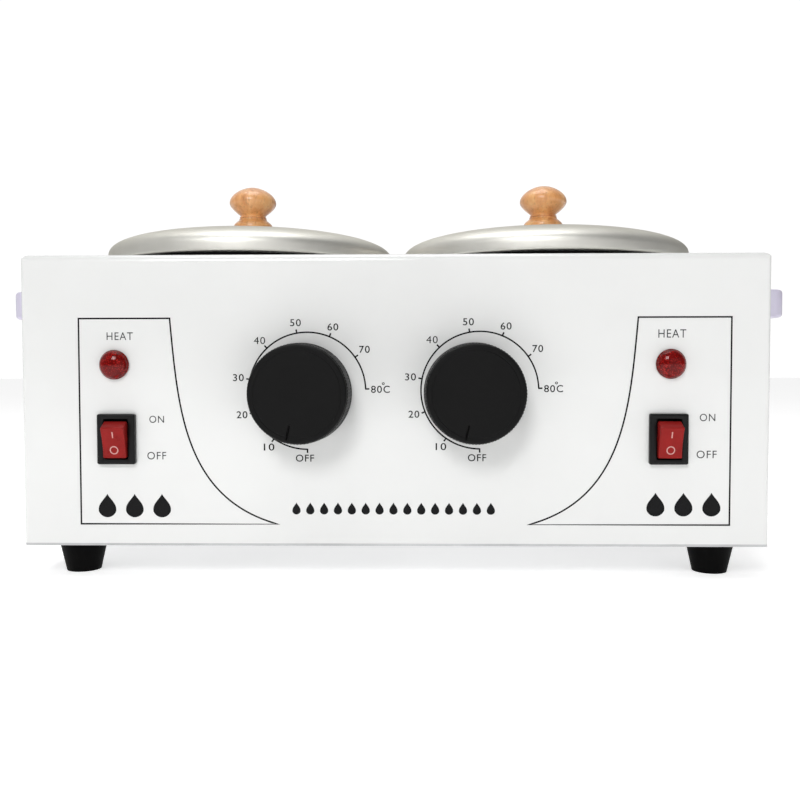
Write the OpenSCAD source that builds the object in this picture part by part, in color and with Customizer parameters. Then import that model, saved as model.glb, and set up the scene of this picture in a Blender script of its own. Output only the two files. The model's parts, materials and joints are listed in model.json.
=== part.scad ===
// Countertop wax warmer with two heated wells, each with its own switch,
// thermostat, indicator, lift-out pot and lid.
// Millimetres. +X is the right of the front view, -Y is the front, +Z is up.
// The origin lies on the ground plane, in the middle of the overall box.

/* [Body] */
// Width of the enamelled body, without the side handles
body_w = 302; // [292:1:330]
// Depth of the body from the front panel to the rear panel
body_d = 170; // [168:1:200]
// Height of the body from the base plate to the top panel
body_h = 118.2; // [112:0.1:130]
// Thickness of the body sheet
sheet = 1; // [0.8:0.1:1.2]
// Radius of the bend between the top panel and the walls
bend_r = 3; // [2:0.5:5]
// Radius of the upright corners
corner_r = 1.6; // [1.3:0.1:3]
// Height of the base plate's upturned lip
base_lip_h = 11; // [9:1:16]

/* [Feet] */
// Height of the rubber feet
foot_h = 13.1; // [10:0.1:16]
// Radius of a foot where it meets the base plate
foot_top_r = 9.9; // [8:0.1:12]
// Radius of a foot where it stands on the table
foot_bottom_r = 7; // [6:0.1:9]
// Distance of the feet from the middle, sideways
foot_x = 132.5; // [120:0.5:136]
// Distance of the feet from the front and rear panels
foot_inset = 16; // [13:0.5:30]

/* [Pots and lids] */
// Distance of each well from the middle, sideways
well_x = 71.8; // [71:0.1:76]
// Inner radius of a lift-out pot
pot_r = 58; // [54:0.5:58]
// Wall of a lift-out pot
pot_wall = 1.2; // [1:0.1:1.5]
// Outer radius of the pot's rim
pot_rim_r = 65.4; // [64.8:0.1:66]
// Inner depth of a lift-out pot
pot_depth = 72; // [60:1:76]
// Radial gap between a pot and its heated well
pot_gap = 0.8; // [0.5:0.1:1]
// Wall of the heated well
well_wall = 1.2; // [1:0.1:1.5]
// Height of the seat that the pot's rim rests on, above the top panel
seat_h = 2.3; // [2:0.1:4]
// Outer radius of a lid
lid_r = 68.7; // [68:0.1:70]
// Height of the lid's upright rim
lid_rim_h = 5.8; // [4.5:0.1:7]
// Height of the lid's dome above its rim
lid_rise = 10.8; // [9:0.1:16]
// Thickness of the lid's sheet
lid_wall = 1.2; // [1:0.1:1.5]

/* [Lid knob] */
// Height of the wooden lid knob above the lid
lid_knob_h = 23.1; // [20:0.1:28]
// Largest radius of the wooden lid knob
lid_knob_r = 11.4; // [9:0.1:14]
// Radius of the knob's neck
lid_neck_r = 6.4; // [5.5:0.1:8]

/* [Front panel] */
// Half the distance between the two thermostat shafts
shaft_spacing = 34.6; // [30:0.1:40]
// Sideways offset of the two thermostat shafts from the middle
shaft_shift = -2.1; // [-3:0.1:3]
// Height of the thermostat shafts
shaft_z = 75.3; // [70:0.1:80]
// Half the distance between the left and right switches
switch_spacing = 111.2; // [108:0.1:116]
// Half the distance between the left and right indicators
indicator_spacing = 112; // [108:0.1:116]
// Sideways offset of switches and indicators from the middle
switch_shift = -0.9; // [-3:0.1:3]
// Height of the rocker switches
switch_z = 56.7; // [50:0.1:60]
// Height of the indicators
indicator_z = 86.8; // [82:0.1:96]

/* [Control knobs] */
// Radius of a control knob at its face
knob_face_r = 19.5; // [17:0.1:22]
// Radius of a control knob next to the panel
knob_back_r = 20.2; // [17:0.1:22]
// How far a control knob stands out from the panel
knob_proud = 17.4; // [14:0.1:20]
// Angle of the pointer at rest, clockwise from straight down
knob_rest_angle = 13; // [0:1:30]
// Radius of the thermostat shafts
shaft_r = 3; // [2.5:0.5:3]

/* [Rocker switches] */
// Width of the switch bezel
bezel_w = 15.4; // [15:0.1:16]
// Height of the switch bezel
bezel_h = 20.4; // [20:0.1:21]
// Width of the rocker
rocker_w = 9.2; // [9:0.1:9.4]
// Tilt of the rocker either way from its middle position
rocker_tilt = 16; // [12:0.5:16]

/* [Side handles] */
// How far a handle stands out from the side panel
handle_proud = 22.2; // [18:0.1:26]
// Length of a handle, front to back
handle_len = 90; // [80:1:100]
// Height of a handle's bar
handle_h = 12.4; // [10:0.1:16]
// Height of the handle's middle above the ground
handle_z = 113.7; // [100:0.1:116]
// Thickness of a handle's bar
handle_bar = 6.5; // [5:0.5:8]

/* [Cord gland] */
// Radius of the cord hole through the gland
gland_bore_r = 3.6; // [3:0.1:4.5]
// How far the gland stands out from the rear panel
gland_proud = 3.4; // [3:0.1:5]
// Height of the gland above the ground
gland_z = 34; // [28:1:44]

/* [Hidden] */
$fn = 72;

SIDES = ["left", "right"];

// Colours
ENAMEL = [0.93, 0.93, 0.92];
ALUMINIUM = [0.80, 0.80, 0.77];
STEEL = [0.66, 0.67, 0.69];
RUBBER = [0.08, 0.08, 0.08];
BLACK_PLASTIC = [0.11, 0.11, 0.11];
LILAC_PLASTIC = [0.82, 0.80, 0.87];
RED_PLASTIC = [0.60, 0.08, 0.09];
RED_LENS = [0.50, 0.04, 0.05];
WOOD = [0.86, 0.68, 0.48];
FELT = [0.78, 0.76, 0.70];
MICA = [0.60, 0.56, 0.48];
NYLON = [0.90, 0.89, 0.84];
BRASS = [0.78, 0.62, 0.30];
CERAMIC = [0.88, 0.87, 0.83];

// Fits
hair = 0.05;     // play of a running shaft, and between assembled parts
screw_gap = 0.1; // play of a screw in its hole
over = 1;        // how far a cutting tool reaches past the surface it cuts

// The body's planes
mid_y = (knob_proud - gland_proud) / 2;
front_y = mid_y - body_d / 2;
rear_y = mid_y + body_d / 2;
top_z = foot_h + body_h;
shell_z = foot_h + sheet;
seat_z = top_z + seat_h;

// Pots and wells
rim_t = 1.2;
lid_z = seat_z + rim_t;
pot_floor_z = lid_z - pot_depth;
pot_corner = 8;
pot_outer_r = pot_r + pot_wall;
floor_gap = 0.4;
well_r = pot_outer_r + pot_gap;
well_outer_r = well_r + well_wall;
well_floor_z = pot_floor_z - pot_wall - floor_gap;
well_bottom_z = well_floor_z - well_wall;
well_rim_r = well_outer_r + 3;
well_rim_t = 1;
well_hole_r = well_outer_r + 0.4;
seat_ring_r = 67.2;
seat_lip_gap = 0.3;  // how far the seat ring stays below the lid
seat_rim_gap = 0.4;  // radial gap round the pot's rim

// Heater parts
band_t = 1.6;
band_z = well_bottom_z + pot_corner + 2;
band_h = 34;
band_r = well_outer_r + hair;
felt_r = band_r + band_t + 0.2;
felt_t = 2.6;
felt_z = band_z - 4;
felt_h = 52;
ear_angle = 60;   // direction of the heater band's clamp, from the middle plane
ear_gap = 5;
ear_w = 12;
ear_t = 1.5;
ear_reach = 11;
band_bolt_r = 1.5;

// Lid
lid_bead = 5;
lid_shoulder_z = lid_z + lid_rim_h;
lid_crown_z = lid_shoulder_z + lid_rise;
lid_plug_r = pot_r - 0.6;
lid_plug_t = 1;
lid_plug_h = 4;
lid_screw_r = 2;
lid_screw_grip = 13;
washer_r = 6;
washer_t = 1;

// Small hardware
screw_r = 1.5;
screw_head_r = 2.8;
screw_head_h = 1.5;
screw_len = 7;
handle_screw_y = handle_len / 2 - 8;
shaft_hole_r = 4.5;
shaft_flat = 2;  // distance of the shaft's flat from its axis
thermostat_w = 30;
thermostat_d = 17;
thermostat_screw_x = 12;
thermostat_bore = 9;
gland_neck_r = 6.5;
gland_flange_r = 9;
gland_inner = 4;

// Switch, measured outward from the front panel
bezel_t = 2.5;
pivot_proud = 0.8;   // from the panel out to the rocker's pivot
switch_body_w = 12.9;
switch_body_h = 18.9;
switch_depth = 15;
rocker_open_w = rocker_w + 0.5;
rocker_open_h = 16.2;
rocker_open_d = 8;
pin_r = 1.2;
pin_reach = 1.2;
rocker_half = 6.5;   // from the pivot to the raised edge of the face
rocker_end_h = 4.9;  // height of the face's edges above the pivot
rocker_mid_h = 4.4;  // height of the face's middle above the pivot
rocker_wide = 7.4;   // from the pivot to the widest part of an end

// Indicator
lens_r = 6;
lens_stem_r = 4.8;
lens_proud = 4.4;
lens_rim = 1.4;
indicator_hole_r = 5;
indicator_depth = 20;

// Supply
wire_r = 1.1;
wire_gap = 0.2;  // a lead ends this far from the blade it feeds
earth_r = 2;
earth_x = 30;
earth_y = mid_y + 62;
block_w = 34;
block_d = 16;
block_h = 14;
block_y = mid_y + 48;

function sign_of(side) = side == "left" ? -1 : 1;
function knob_x(side) = shaft_shift + sign_of(side) * shaft_spacing;
function switch_x(side) = switch_shift + sign_of(side) * switch_spacing;
function indicator_x(side) = switch_shift + sign_of(side) * indicator_spacing;
function arc(cx, cy, r, from, to, n) =
    [for (i = [0:n]) let (a = from + (to - from) * i / n) [cx + r * cos(a), cy + r * sin(a)]];

// ---- Shapes that repeat ----

// A rectangle with round corners, centred on the origin
module round_rect(w, h, r) {
    square([w - 2 * r, h], center = true);
    square([w, h - 2 * r], center = true);
    for (x = [-1, 1], y = [-1, 1])
        translate([x * (w / 2 - r), y * (h / 2 - r)]) circle(r);
}

// A wall's outline: square at the foot, bent over at the top corners
module arch(w, h, r) {
    translate([-w / 2, 0]) square([w, h - r]);
    translate([-w / 2 + r, 0]) square([w - 2 * r, h]);
    for (x = [-1, 1])
        translate([x * (w / 2 - r), h - r]) circle(r);
}

// A box bent from sheet: round upright corners and a round top edge
module bent_box(w, d, h, bend, corner) {
    intersection() {
        linear_extrude(h) round_rect(w, d, corner);
        rotate([90, 0, 0]) linear_extrude(d + over, center = true) arch(w, h, bend);
        rotate([90, 0, 90]) linear_extrude(w + over, center = true) arch(d, h, bend);
    }
}

// Places a child on the front panel: its Z points out of the panel
module on_front(x, z) {
    translate([x, front_y, z]) rotate([90, 0, 0]) children();
}

// Places a child on a side panel: its Z points out of the panel
module on_side(side, y, z) {
    translate([sign_of(side) * body_w / 2, y, z])
        rotate([0, sign_of(side) * 90, 0]) children();
}

// Places a child on the rear panel: its Z points out of the panel
module on_rear(x, z) {
    translate([x, rear_y, z]) rotate([-90, 0, 0]) children();
}

module at_well(side) {
    translate([sign_of(side) * well_x, mid_y, 0]) children();
}

// Every corner where a foot is screwed on
module at_feet() {
    for (x = [-1, 1], y = [front_y + foot_inset, rear_y - foot_inset])
        translate([x * foot_x, y, 0]) children();
}

// Every screw that joins the shell to the base plate's lip
module at_base_screws() {
    z = shell_z + base_lip_h / 2;
    for (side = SIDES, y = [-55, 55]) on_side(side, mid_y + y, z) children();
    for (x = [-110, 0, 110]) on_rear(x, z) children();
}

// A cross-head screw that enters along -Z, its head resting on Z = 0
module screw(r, head_r, head_h, length) {
    difference() {
        union() {
            translate([0, 0, -length]) cylinder(h = length, r = r);
            cylinder(h = head_h, r = head_r);
        }
        translate([0, 0, head_h / 2 + over / 2]) {
            cube([head_r * 1.1, head_r * 0.3, head_h / 2 + over], center = true);
            cube([head_r * 0.3, head_r * 1.1, head_h / 2 + over], center = true);
        }
    }
}

function unit(v) = v / norm(v);

// The direction of a wire at point i: the mean of the runs that meet there
function wire_way(points, i) =
    let (last = len(points) - 1)
    let (before = unit(points[max(i, 1)] - points[max(i, 1) - 1]))
    let (after = unit(points[min(i + 1, last)] - points[min(i, last - 1)]))
    unit(before + after);

// A wire bent through a list of points: one ring of corners at each point
module wire(points, r) {
    sides = 8;
    upright = unit([0.31, 0.47, 0.83]);
    corners = [for (i = [0:len(points) - 1], j = [0:sides - 1]) let (
        way = wire_way(points, i),
        u = unit(cross(way, upright)),
        v = cross(way, u),
        a = 360 * j / sides) points[i] + r * (u * cos(a) + v * sin(a))];
    walls = [for (i = [0:len(points) - 2], j = [0:sides - 1]) let (
        a = i * sides + j,
        b = i * sides + (j + 1) % sides) each [[a, b + sides, b], [a, a + sides, b + sides]]];
    first = [for (j = [0:sides - 1]) j];
    last = [for (j = [sides - 1:-1:0]) (len(points) - 1) * sides + j];
    polyhedron(corners, concat(walls, [first, last]));
}

// A spun bowl with a round bottom corner and a flat rim turned outwards
module bowl(r, wall, floor_z, rim_z, corner, rim_r, rim_t) {
    outer = concat(
        [[0, floor_z - wall]],
        arc(r - corner, floor_z + corner, corner + wall, -90, 0, 8),
        [[r + wall, rim_z - rim_t], [rim_r, rim_z - rim_t], [rim_r, rim_z]]
    );
    inner = concat(
        [[r, rim_z]],
        arc(r - corner, floor_z + corner, corner, 0, -90, 8),
        [[0, floor_z]]
    );
    rotate_extrude() polygon(concat(outer, inner));
}

// ---- Body ----

module housing_shell() {
    color(ENAMEL)
    difference() {
        translate([0, mid_y, shell_z])
            bent_box(body_w, body_d, body_h - sheet, bend_r, corner_r);
        translate([0, mid_y, shell_z - over])
            bent_box(body_w - 2 * sheet, body_d - 2 * sheet, body_h - 2 * sheet + over,
                bend_r - sheet, corner_r - sheet);
        for (side = SIDES) {
            at_well(side) translate([0, 0, top_z - 2 * sheet])
                cylinder(h = 4 * sheet, r = well_hole_r);
            on_front(knob_x(side), shaft_z) panel_hole(shaft_hole_r);
            for (x = [-1, 1])
                on_front(knob_x(side) + x * thermostat_screw_x, shaft_z)
                    panel_hole(screw_r + screw_gap);
            on_front(indicator_x(side), indicator_z) panel_hole(indicator_hole_r);
            on_front(switch_x(side), switch_z)
                cube([switch_body_w + 0.2, switch_body_h + 0.2, 4 * sheet], center = true);
            for (y = [-1, 1])
                on_side(side, mid_y + y * handle_screw_y, handle_z)
                    panel_hole(screw_r + screw_gap);
        }
        at_base_screws() panel_hole(screw_r + screw_gap);
        on_rear(0, gland_z) panel_hole(gland_neck_r + screw_gap);
    }
}

// A round hole through a panel whose face is at Z = 0
module panel_hole(r) {
    cylinder(h = 6 * sheet, r = r, center = true);
}

module base_plate() {
    lip_w = body_w - 2 * sheet - 0.4;
    lip_d = body_d - 2 * sheet - 0.4;
    color(STEEL)
    difference() {
        union() {
            translate([0, mid_y, foot_h]) linear_extrude(sheet) round_rect(body_w, body_d, corner_r);
            translate([0, mid_y, shell_z]) linear_extrude(base_lip_h) difference() {
                square([lip_w, lip_d], center = true);
                square([lip_w - 2 * sheet, lip_d - 2 * sheet], center = true);
            }
        }
        at_feet() translate([0, 0, foot_h - over]) cylinder(h = 4 * sheet, r = screw_r + screw_gap);
        at_base_screws() panel_hole(screw_r + screw_gap);
        translate([earth_x, earth_y, foot_h - over]) cylinder(h = 4 * sheet, r = earth_r + screw_gap);
    }
}

module foot() {
    recess_r = 4;
    recess_h = foot_h - 4;
    color(RUBBER)
    difference() {
        cylinder(h = foot_h, r1 = foot_bottom_r, r2 = foot_top_r);
        translate([0, 0, -over]) cylinder(h = recess_h + over, r = recess_r);
        cylinder(h = foot_h + over, r = screw_r + screw_gap);
    }
}

module foot_at(side, y) {
    translate([sign_of(side) * foot_x, y, 0]) foot();
}

module foot_screws() {
    color(STEEL)
    at_feet() translate([0, 0, foot_h - 4]) rotate([180, 0, 0])
        screw(screw_r, screw_head_r, screw_head_h, screw_len + 2);
}

module base_screws() {
    color(STEEL) at_base_screws() screw(screw_r, screw_head_r, screw_head_h, screw_len);
}

// ---- Side handles ----

// The handle's outline from above, against the side panel at X = 0
module handle_outline() {
    r = 6;
    post = 16;
    difference() {
        union() {
            translate([0, -handle_len / 2]) square([handle_proud - r, handle_len]);
            translate([0, -handle_len / 2 + r]) square([handle_proud, handle_len - 2 * r]);
            for (y = [-1, 1])
                translate([handle_proud - r, y * (handle_len / 2 - r)]) circle(r);
        }
        translate([-over, -handle_len / 2 + post])
            square([handle_proud - handle_bar + over, handle_len - 2 * post]);
    }
}

module side_handle(side) {
    s = sign_of(side);
    color(LILAC_PLASTIC)
    difference() {
        translate([s * body_w / 2, mid_y, handle_z - handle_h / 2])
            mirror([side == "left" ? 1 : 0, 0, 0])
                linear_extrude(handle_h) handle_outline();
        for (y = [-1, 1])
            on_side(side, mid_y + y * handle_screw_y, handle_z) translate([0, 0, -over])
                cylinder(h = screw_len + over, r = screw_r + screw_gap);
    }
}

module handle_screws() {
    color(STEEL)
    for (side = SIDES, y = [-1, 1])
        on_side(side, mid_y + y * handle_screw_y, handle_z) translate([0, 0, -sheet])
            rotate([180, 0, 0]) screw(screw_r, screw_head_r, screw_head_h, screw_len);
}

// ---- Wells and heaters ----

module seat_ring(side) {
    color(RUBBER)
    at_well(side) difference() {
        translate([0, 0, top_z]) cylinder(h = lid_z - top_z - seat_lip_gap, r = seat_ring_r);
        translate([0, 0, top_z - over]) cylinder(h = lid_z - top_z + over, r = well_r);
        translate([0, 0, seat_z]) cylinder(h = lid_z - seat_z, r = pot_rim_r + seat_rim_gap);
        translate([0, 0, top_z - over]) cylinder(h = well_rim_t + over, r = well_rim_r + 0.2);
    }
}

module well(side) {
    color(ALUMINIUM)
    at_well(side)
        bowl(well_r, well_wall, well_floor_z, top_z + well_rim_t, pot_corner, well_rim_r, well_rim_t);
}

// Turns a child so that +X points at the heater band's clamp
module at_clamp(side) {
    at_well(side) rotate([0, 0, side == "left" ? ear_angle : 180 - ear_angle]) children();
}

module heater_band(side) {
    color(MICA)
    at_clamp(side) translate([0, 0, band_z]) difference() {
        union() {
            difference() {
                cylinder(h = band_h, r = band_r + band_t);
                translate([0, 0, -over]) cylinder(h = band_h + 2 * over, r = band_r);
            }
            for (y = [-1, 1])
                translate([band_r + 0.2, y * (ear_gap + ear_t) / 2 - ear_t / 2, (band_h - ear_w) / 2])
                    cube([ear_reach, ear_t, ear_w]);
        }
        translate([band_r - 2, -ear_gap / 2, -over]) cube([band_t + 3, ear_gap, band_h + 2 * over]);
        translate([band_r + ear_reach - 4, 0, band_h / 2]) rotate([90, 0, 0])
            cylinder(h = 4 * ear_gap, r = band_bolt_r + screw_gap, center = true);
    }
}

module band_bolts() {
    head = 2;
    length = ear_gap + 2 * ear_t;
    color(STEEL)
    for (side = SIDES)
        at_clamp(side)
            translate([band_r + ear_reach - 4, length / 2, band_z + band_h / 2]) rotate([-90, 0, 0]) {
                translate([0, 0, -length]) cylinder(h = length, r = band_bolt_r);
                cylinder(h = head, r = 2.75, $fn = 6);
                translate([0, 0, -length - head]) cylinder(h = head, r = 3, $fn = 6);
            }
}

module insulation(side) {
    slot = 26;
    color(FELT)
    at_clamp(side) translate([0, 0, felt_z]) difference() {
        cylinder(h = felt_h, r = felt_r + felt_t);
        translate([0, 0, -over]) cylinder(h = felt_h + 2 * over, r = felt_r);
        translate([felt_r - 8, -slot / 2, -over]) cube([20, slot, felt_h + 2 * over]);
    }
}

// ---- Thermostats ----

module thermostat(side) {
    s = sign_of(side);
    blade_w = 6.3;
    color(BLACK_PLASTIC)
    on_front(knob_x(side), shaft_z) difference() {
        union() {
            translate([0, 0, -sheet - thermostat_d / 2])
                cube([thermostat_w, thermostat_w, thermostat_d], center = true);
            for (y = [-6, 6])
                translate([-s * 10, y, -sheet - thermostat_d - 3])
                    cube([blade_w, 0.8, 6 + over], center = true);
        }
        translate([0, 0, -sheet - thermostat_bore]) cylinder(h = thermostat_bore + over, r = shaft_r + hair);
        for (x = [-1, 1])
            translate([x * thermostat_screw_x, 0, -sheet - screw_len + 0.5])
                cylinder(h = screw_len + over, r = screw_r + screw_gap);
    }
}

module thermostat_screws() {
    head_h = 1.2;
    color(STEEL)
    for (side = SIDES, x = [-1, 1])
        on_front(knob_x(side) + x * thermostat_screw_x, shaft_z)
            screw(screw_r, screw_head_r, head_h, screw_len);
}

module thermostat_shaft(side) {
    back = -sheet - thermostat_bore + 0.5;
    front = knob_proud - 4;
    color(STEEL)
    on_front(knob_x(side), shaft_z) difference() {
        translate([0, 0, back]) cylinder(h = front - back, r = shaft_r);
        translate([-shaft_r, shaft_flat, 3]) cube([2 * shaft_r, shaft_r, knob_proud]);
    }
}

// The bulb lies under the well's floor, on a capillary from the thermostat
module sensor_bulb(side) {
    s = sign_of(side);
    bulb_r = 3;
    tube_r = 0.8;
    bulb_z = well_bottom_z - bulb_r - 0.2;
    bulb_x = s * (well_x - 24);
    tail_x = knob_x(side) + s * 8;
    tail_y = front_y + sheet + 8;
    tail_z = shaft_z - thermostat_w / 2 - 0.1;
    color(BRASS) {
        translate([bulb_x, -10, bulb_z]) rotate([-90, 0, 0]) cylinder(h = 46, r = bulb_r);
        wire([
            [tail_x, tail_y, tail_z],
            [tail_x, tail_y, tail_z - 12],
            [bulb_x, tail_y + 22, bulb_z - 5],
            [bulb_x, -9.5, bulb_z]
        ], tube_r);
    }
}

module thermal_cutoff(side) {
    disc_r = 8;
    disc_h = 5;
    color(BLACK_PLASTIC)
    at_well(side) translate([0, 20, well_bottom_z - disc_h - 0.1]) {
        cylinder(h = disc_h, r = disc_r);
        for (x = [-5, 5])
            translate([x, 0, -2]) cube([0.8, 6, 5], center = true);
    }
}

// ---- Switches and indicators ----

module switch_housing(side) {
    color(BLACK_PLASTIC)
    on_front(switch_x(side), switch_z) difference() {
        union() {
            linear_extrude(bezel_t) round_rect(bezel_w, bezel_h, 1);
            translate([-switch_body_w / 2, -switch_body_h / 2, -switch_depth])
                cube([switch_body_w, switch_body_h, switch_depth + over]);
        }
        translate([-rocker_open_w / 2, -rocker_open_h / 2, -rocker_open_d])
            cube([rocker_open_w, rocker_open_h, rocker_open_d + bezel_t + over]);
        translate([0, 0, pivot_proud]) rotate([0, 90, 0])
            cylinder(h = rocker_w + 2 * pin_reach + 0.2, r = pin_r + hair, center = true);
    }
}

module switch_terminals(side) {
    color(BRASS)
    on_front(switch_x(side), switch_z)
        for (y = [-6, 0, 6])
            translate([0, y, -switch_depth - 3.5]) cube([4.8, 0.8, 7], center = true);
}

module rocker(side) {
    half_face = [
        [rocker_half, rocker_end_h],
        [rocker_half / 2, rocker_mid_h + 0.1],
        [0, rocker_mid_h]
    ];
    color(RED_PLASTIC)
    on_front(switch_x(side), switch_z) translate([0, 0, pivot_proud]) {
        rotate([90, 0, 90]) linear_extrude(rocker_w, center = true) rotate(rocker_tilt)
            polygon(concat(
                [[-5, -3], [5, -3], [rocker_wide, -0.35]],
                half_face,
                [[-rocker_half / 2, rocker_mid_h + 0.1], [-rocker_half, rocker_end_h]],
                [[-rocker_wide, -0.35]]
            ));
        rotate([0, 90, 0]) cylinder(h = rocker_w + 2 * pin_reach, r = pin_r, center = true);
    }
}

module indicator_lens(side) {
    dome_r = 5.6;
    dome_h = lens_proud - lens_rim;
    ball_r = (dome_r * dome_r + dome_h * dome_h) / (2 * dome_h);
    dome_angle = asin(dome_r / ball_r);
    color(RED_LENS)
    on_front(indicator_x(side), indicator_z) rotate_extrude()
        polygon(concat(
            [[0, -5], [lens_stem_r, -5], [lens_stem_r, 0], [lens_r, 0], [lens_r, lens_rim - 0.4]],
            [[lens_r - 0.4, lens_rim]],
            arc(0, lens_proud - ball_r, ball_r, 90 - dome_angle, 90, 10)
        ));
}

module indicator_body(side) {
    color(NYLON)
    on_front(indicator_x(side), indicator_z) translate([0, 0, -indicator_depth])
        cylinder(h = indicator_depth - 5, r = lens_stem_r);
}

module indicator_nuts() {
    color(STEEL)
    for (side = SIDES)
        on_front(indicator_x(side), indicator_z) translate([0, 0, -sheet - 1]) difference() {
            cylinder(h = 1, r = 7.5);
            translate([0, 0, -over]) cylinder(h = 1 + 2 * over, r = lens_stem_r + hair);
        }
}

// ---- Supply ----

module terminal_block() {
    ways = 3;
    pitch = 10;
    color(CERAMIC)
    difference() {
        translate([-block_w / 2, block_y - block_d / 2, shell_z]) cube([block_w, block_d, block_h]);
        for (i = [0:ways - 1]) translate([(i - 1) * pitch, block_y, shell_z]) {
            translate([0, 0, block_h / 2]) rotate([90, 0, 0])
                cylinder(h = block_d + over, r = 2, center = true);
            for (y = [-4, 4])
                translate([0, y, block_h / 2]) cylinder(h = block_h, r = 1.8);
        }
    }
}

module cord_gland() {
    color(RUBBER)
    on_rear(0, gland_z) rotate_extrude()
        polygon([
            [gland_bore_r, -sheet - gland_inner],
            [gland_neck_r + 0.8, -sheet - gland_inner],
            [gland_neck_r + 1.6, -sheet],
            [gland_neck_r, -sheet],
            [gland_neck_r, 0],
            [gland_flange_r, 0],
            [gland_flange_r, 1.6],
            [gland_neck_r, gland_proud],
            [gland_bore_r, gland_proud]
        ]);
}

module earth_screw() {
    color(BRASS)
    translate([earth_x, earth_y, foot_h]) {
        translate([0, 0, -1.6]) cylinder(h = 1.6, r = 4);
        cylinder(h = 12, r = earth_r);
        translate([0, 0, sheet]) cylinder(h = 3, r = 4, $fn = 6);
    }
}

// The leads of one side: supply to switch, switch to thermostat, thermostat
// to the heater band, and the indicator's own lead from the switch
module wiring(side) {
    s = sign_of(side);
    floor_z = shell_z + 3;
    under_z = 40;
    straight = 6;
    block_front = block_y - block_d / 2 - wire_gap;
    switch_tip = front_y + switch_depth + 7 + wire_gap;
    switch_out = switch_tip + straight;
    blade_x = knob_x(side) - s * 10;
    blade_tip = front_y + sheet + thermostat_d + 6.5 + wire_gap;
    blade_out = blade_tip + 1.4 * straight;
    clamp_r = band_r + ear_reach - 4;
    clamp_x = s * (well_x - clamp_r * cos(ear_angle));
    clamp_y = mid_y + clamp_r * sin(ear_angle);
    clamp_z = band_z + band_h / 2 - band_bolt_r - 1.3;
    color(RED_PLASTIC) wire([
        [s * 10, block_front, shell_z + block_h / 2],
        [s * 14, block_front - 20, floor_z],
        [s * 60, mid_y - 35, floor_z],
        [switch_x(side), switch_out, switch_z - 22],
        [switch_x(side), switch_out, switch_z - 6],
        [switch_x(side), switch_tip, switch_z - 6]
    ], wire_r);
    color(BLACK_PLASTIC) wire([
        [switch_x(side), switch_tip, switch_z],
        [switch_x(side), switch_out, switch_z],
        [switch_x(side) - s * 14, switch_out + 2, switch_z - 7],
        [blade_x + s * 30, switch_out - 11, under_z + 2],
        [blade_x, blade_out, under_z + 10],
        [blade_x, blade_out, shaft_z - 6],
        [blade_x, blade_tip, shaft_z - 6]
    ], wire_r);
    color(NYLON) wire([
        [blade_x, blade_tip, shaft_z + 6],
        [blade_x, blade_out, shaft_z + 6],
        [s * 3, blade_out + 3, shaft_z + 2],
        [s * 3, mid_y - 6, under_z],
        [s * 10, mid_y + 20, under_z],
        [clamp_x, clamp_y, under_z + 10],
        [clamp_x, clamp_y, clamp_z]
    ], wire_r);
    color(NYLON) wire([
        [indicator_x(side), front_y + indicator_depth + wire_gap, indicator_z],
        [indicator_x(side), front_y + indicator_depth + 4, indicator_z],
        [indicator_x(side) + s * 7, switch_out, indicator_z - 17],
        [switch_x(side), switch_out, switch_z + 6],
        [switch_x(side), switch_tip, switch_z + 6]
    ], 0.8);
}

// ---- Controls ----

module control_knob(side) {
    gap = 1.5;
    wall = 2;
    hub_r = 6;
    face_t = 3;
    groove_from = 12.3;
    groove_to = 18.2;
    groove_w = 0.9;
    color(BLACK_PLASTIC)
    on_front(knob_x(side), shaft_z) difference() {
        translate([0, 0, gap]) cylinder(h = knob_proud - gap, r1 = knob_back_r, r2 = knob_face_r);
        translate([0, 0, gap - over]) difference() {
            cylinder(h = knob_proud - gap - face_t + over, r = knob_face_r - wall);
            cylinder(h = knob_proud, r = hub_r);
        }
        difference() {
            cylinder(h = knob_proud - 3.8, r = shaft_r + hair);
            translate([-shaft_r - over, shaft_flat + hair, 3])
                cube([2 * shaft_r + 2 * over, shaft_r, knob_proud]);
        }
        rotate([0, 0, -90 - knob_rest_angle])
            translate([groove_from, -groove_w / 2, knob_proud - 0.6])
                cube([groove_to - groove_from, groove_w, over]);
    }
}

// ---- Pots and lids ----

module pot(side) {
    color(ALUMINIUM)
    at_well(side) bowl(pot_r, pot_wall, pot_floor_z, lid_z, pot_corner, pot_rim_r, rim_t);
}

// An ellipse quarter, from its widest point up to the axis
function dome_points(r, rise, z, n) =
    [for (i = [0:n]) [r * cos(90 * i / n), z + rise * sin(90 * i / n)]];

module lid(side) {
    inner_r = lid_r - lid_wall;
    inside = dome_points(inner_r, lid_rise, lid_shoulder_z - lid_wall, 24);
    plug_top = lid_shoulder_z - lid_wall / 2 + lid_rise * sin(acos(lid_plug_r / inner_r));
    color(ALUMINIUM)
    at_well(side) difference() {
        union() {
            rotate_extrude() difference() {
                polygon(concat([[0, lid_z], [lid_r, lid_z]],
                    dome_points(lid_r, lid_rise, lid_shoulder_z, 24)));
                intersection() {
                    translate([0, lid_z - over]) square([lid_r - lid_bead, lid_r]);
                    polygon(concat([[0, lid_z - over], [inner_r, lid_z - over]], inside));
                }
            }
            translate([0, 0, lid_z - lid_plug_h]) difference() {
                cylinder(h = plug_top - lid_z + lid_plug_h, r = lid_plug_r);
                translate([0, 0, -over])
                    cylinder(h = lid_rise + lid_plug_h + 10, r = lid_plug_r - lid_plug_t);
            }
        }
        translate([0, 0, lid_crown_z - 3]) cylinder(h = 6, r = lid_screw_r + screw_gap);
    }
}

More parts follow.
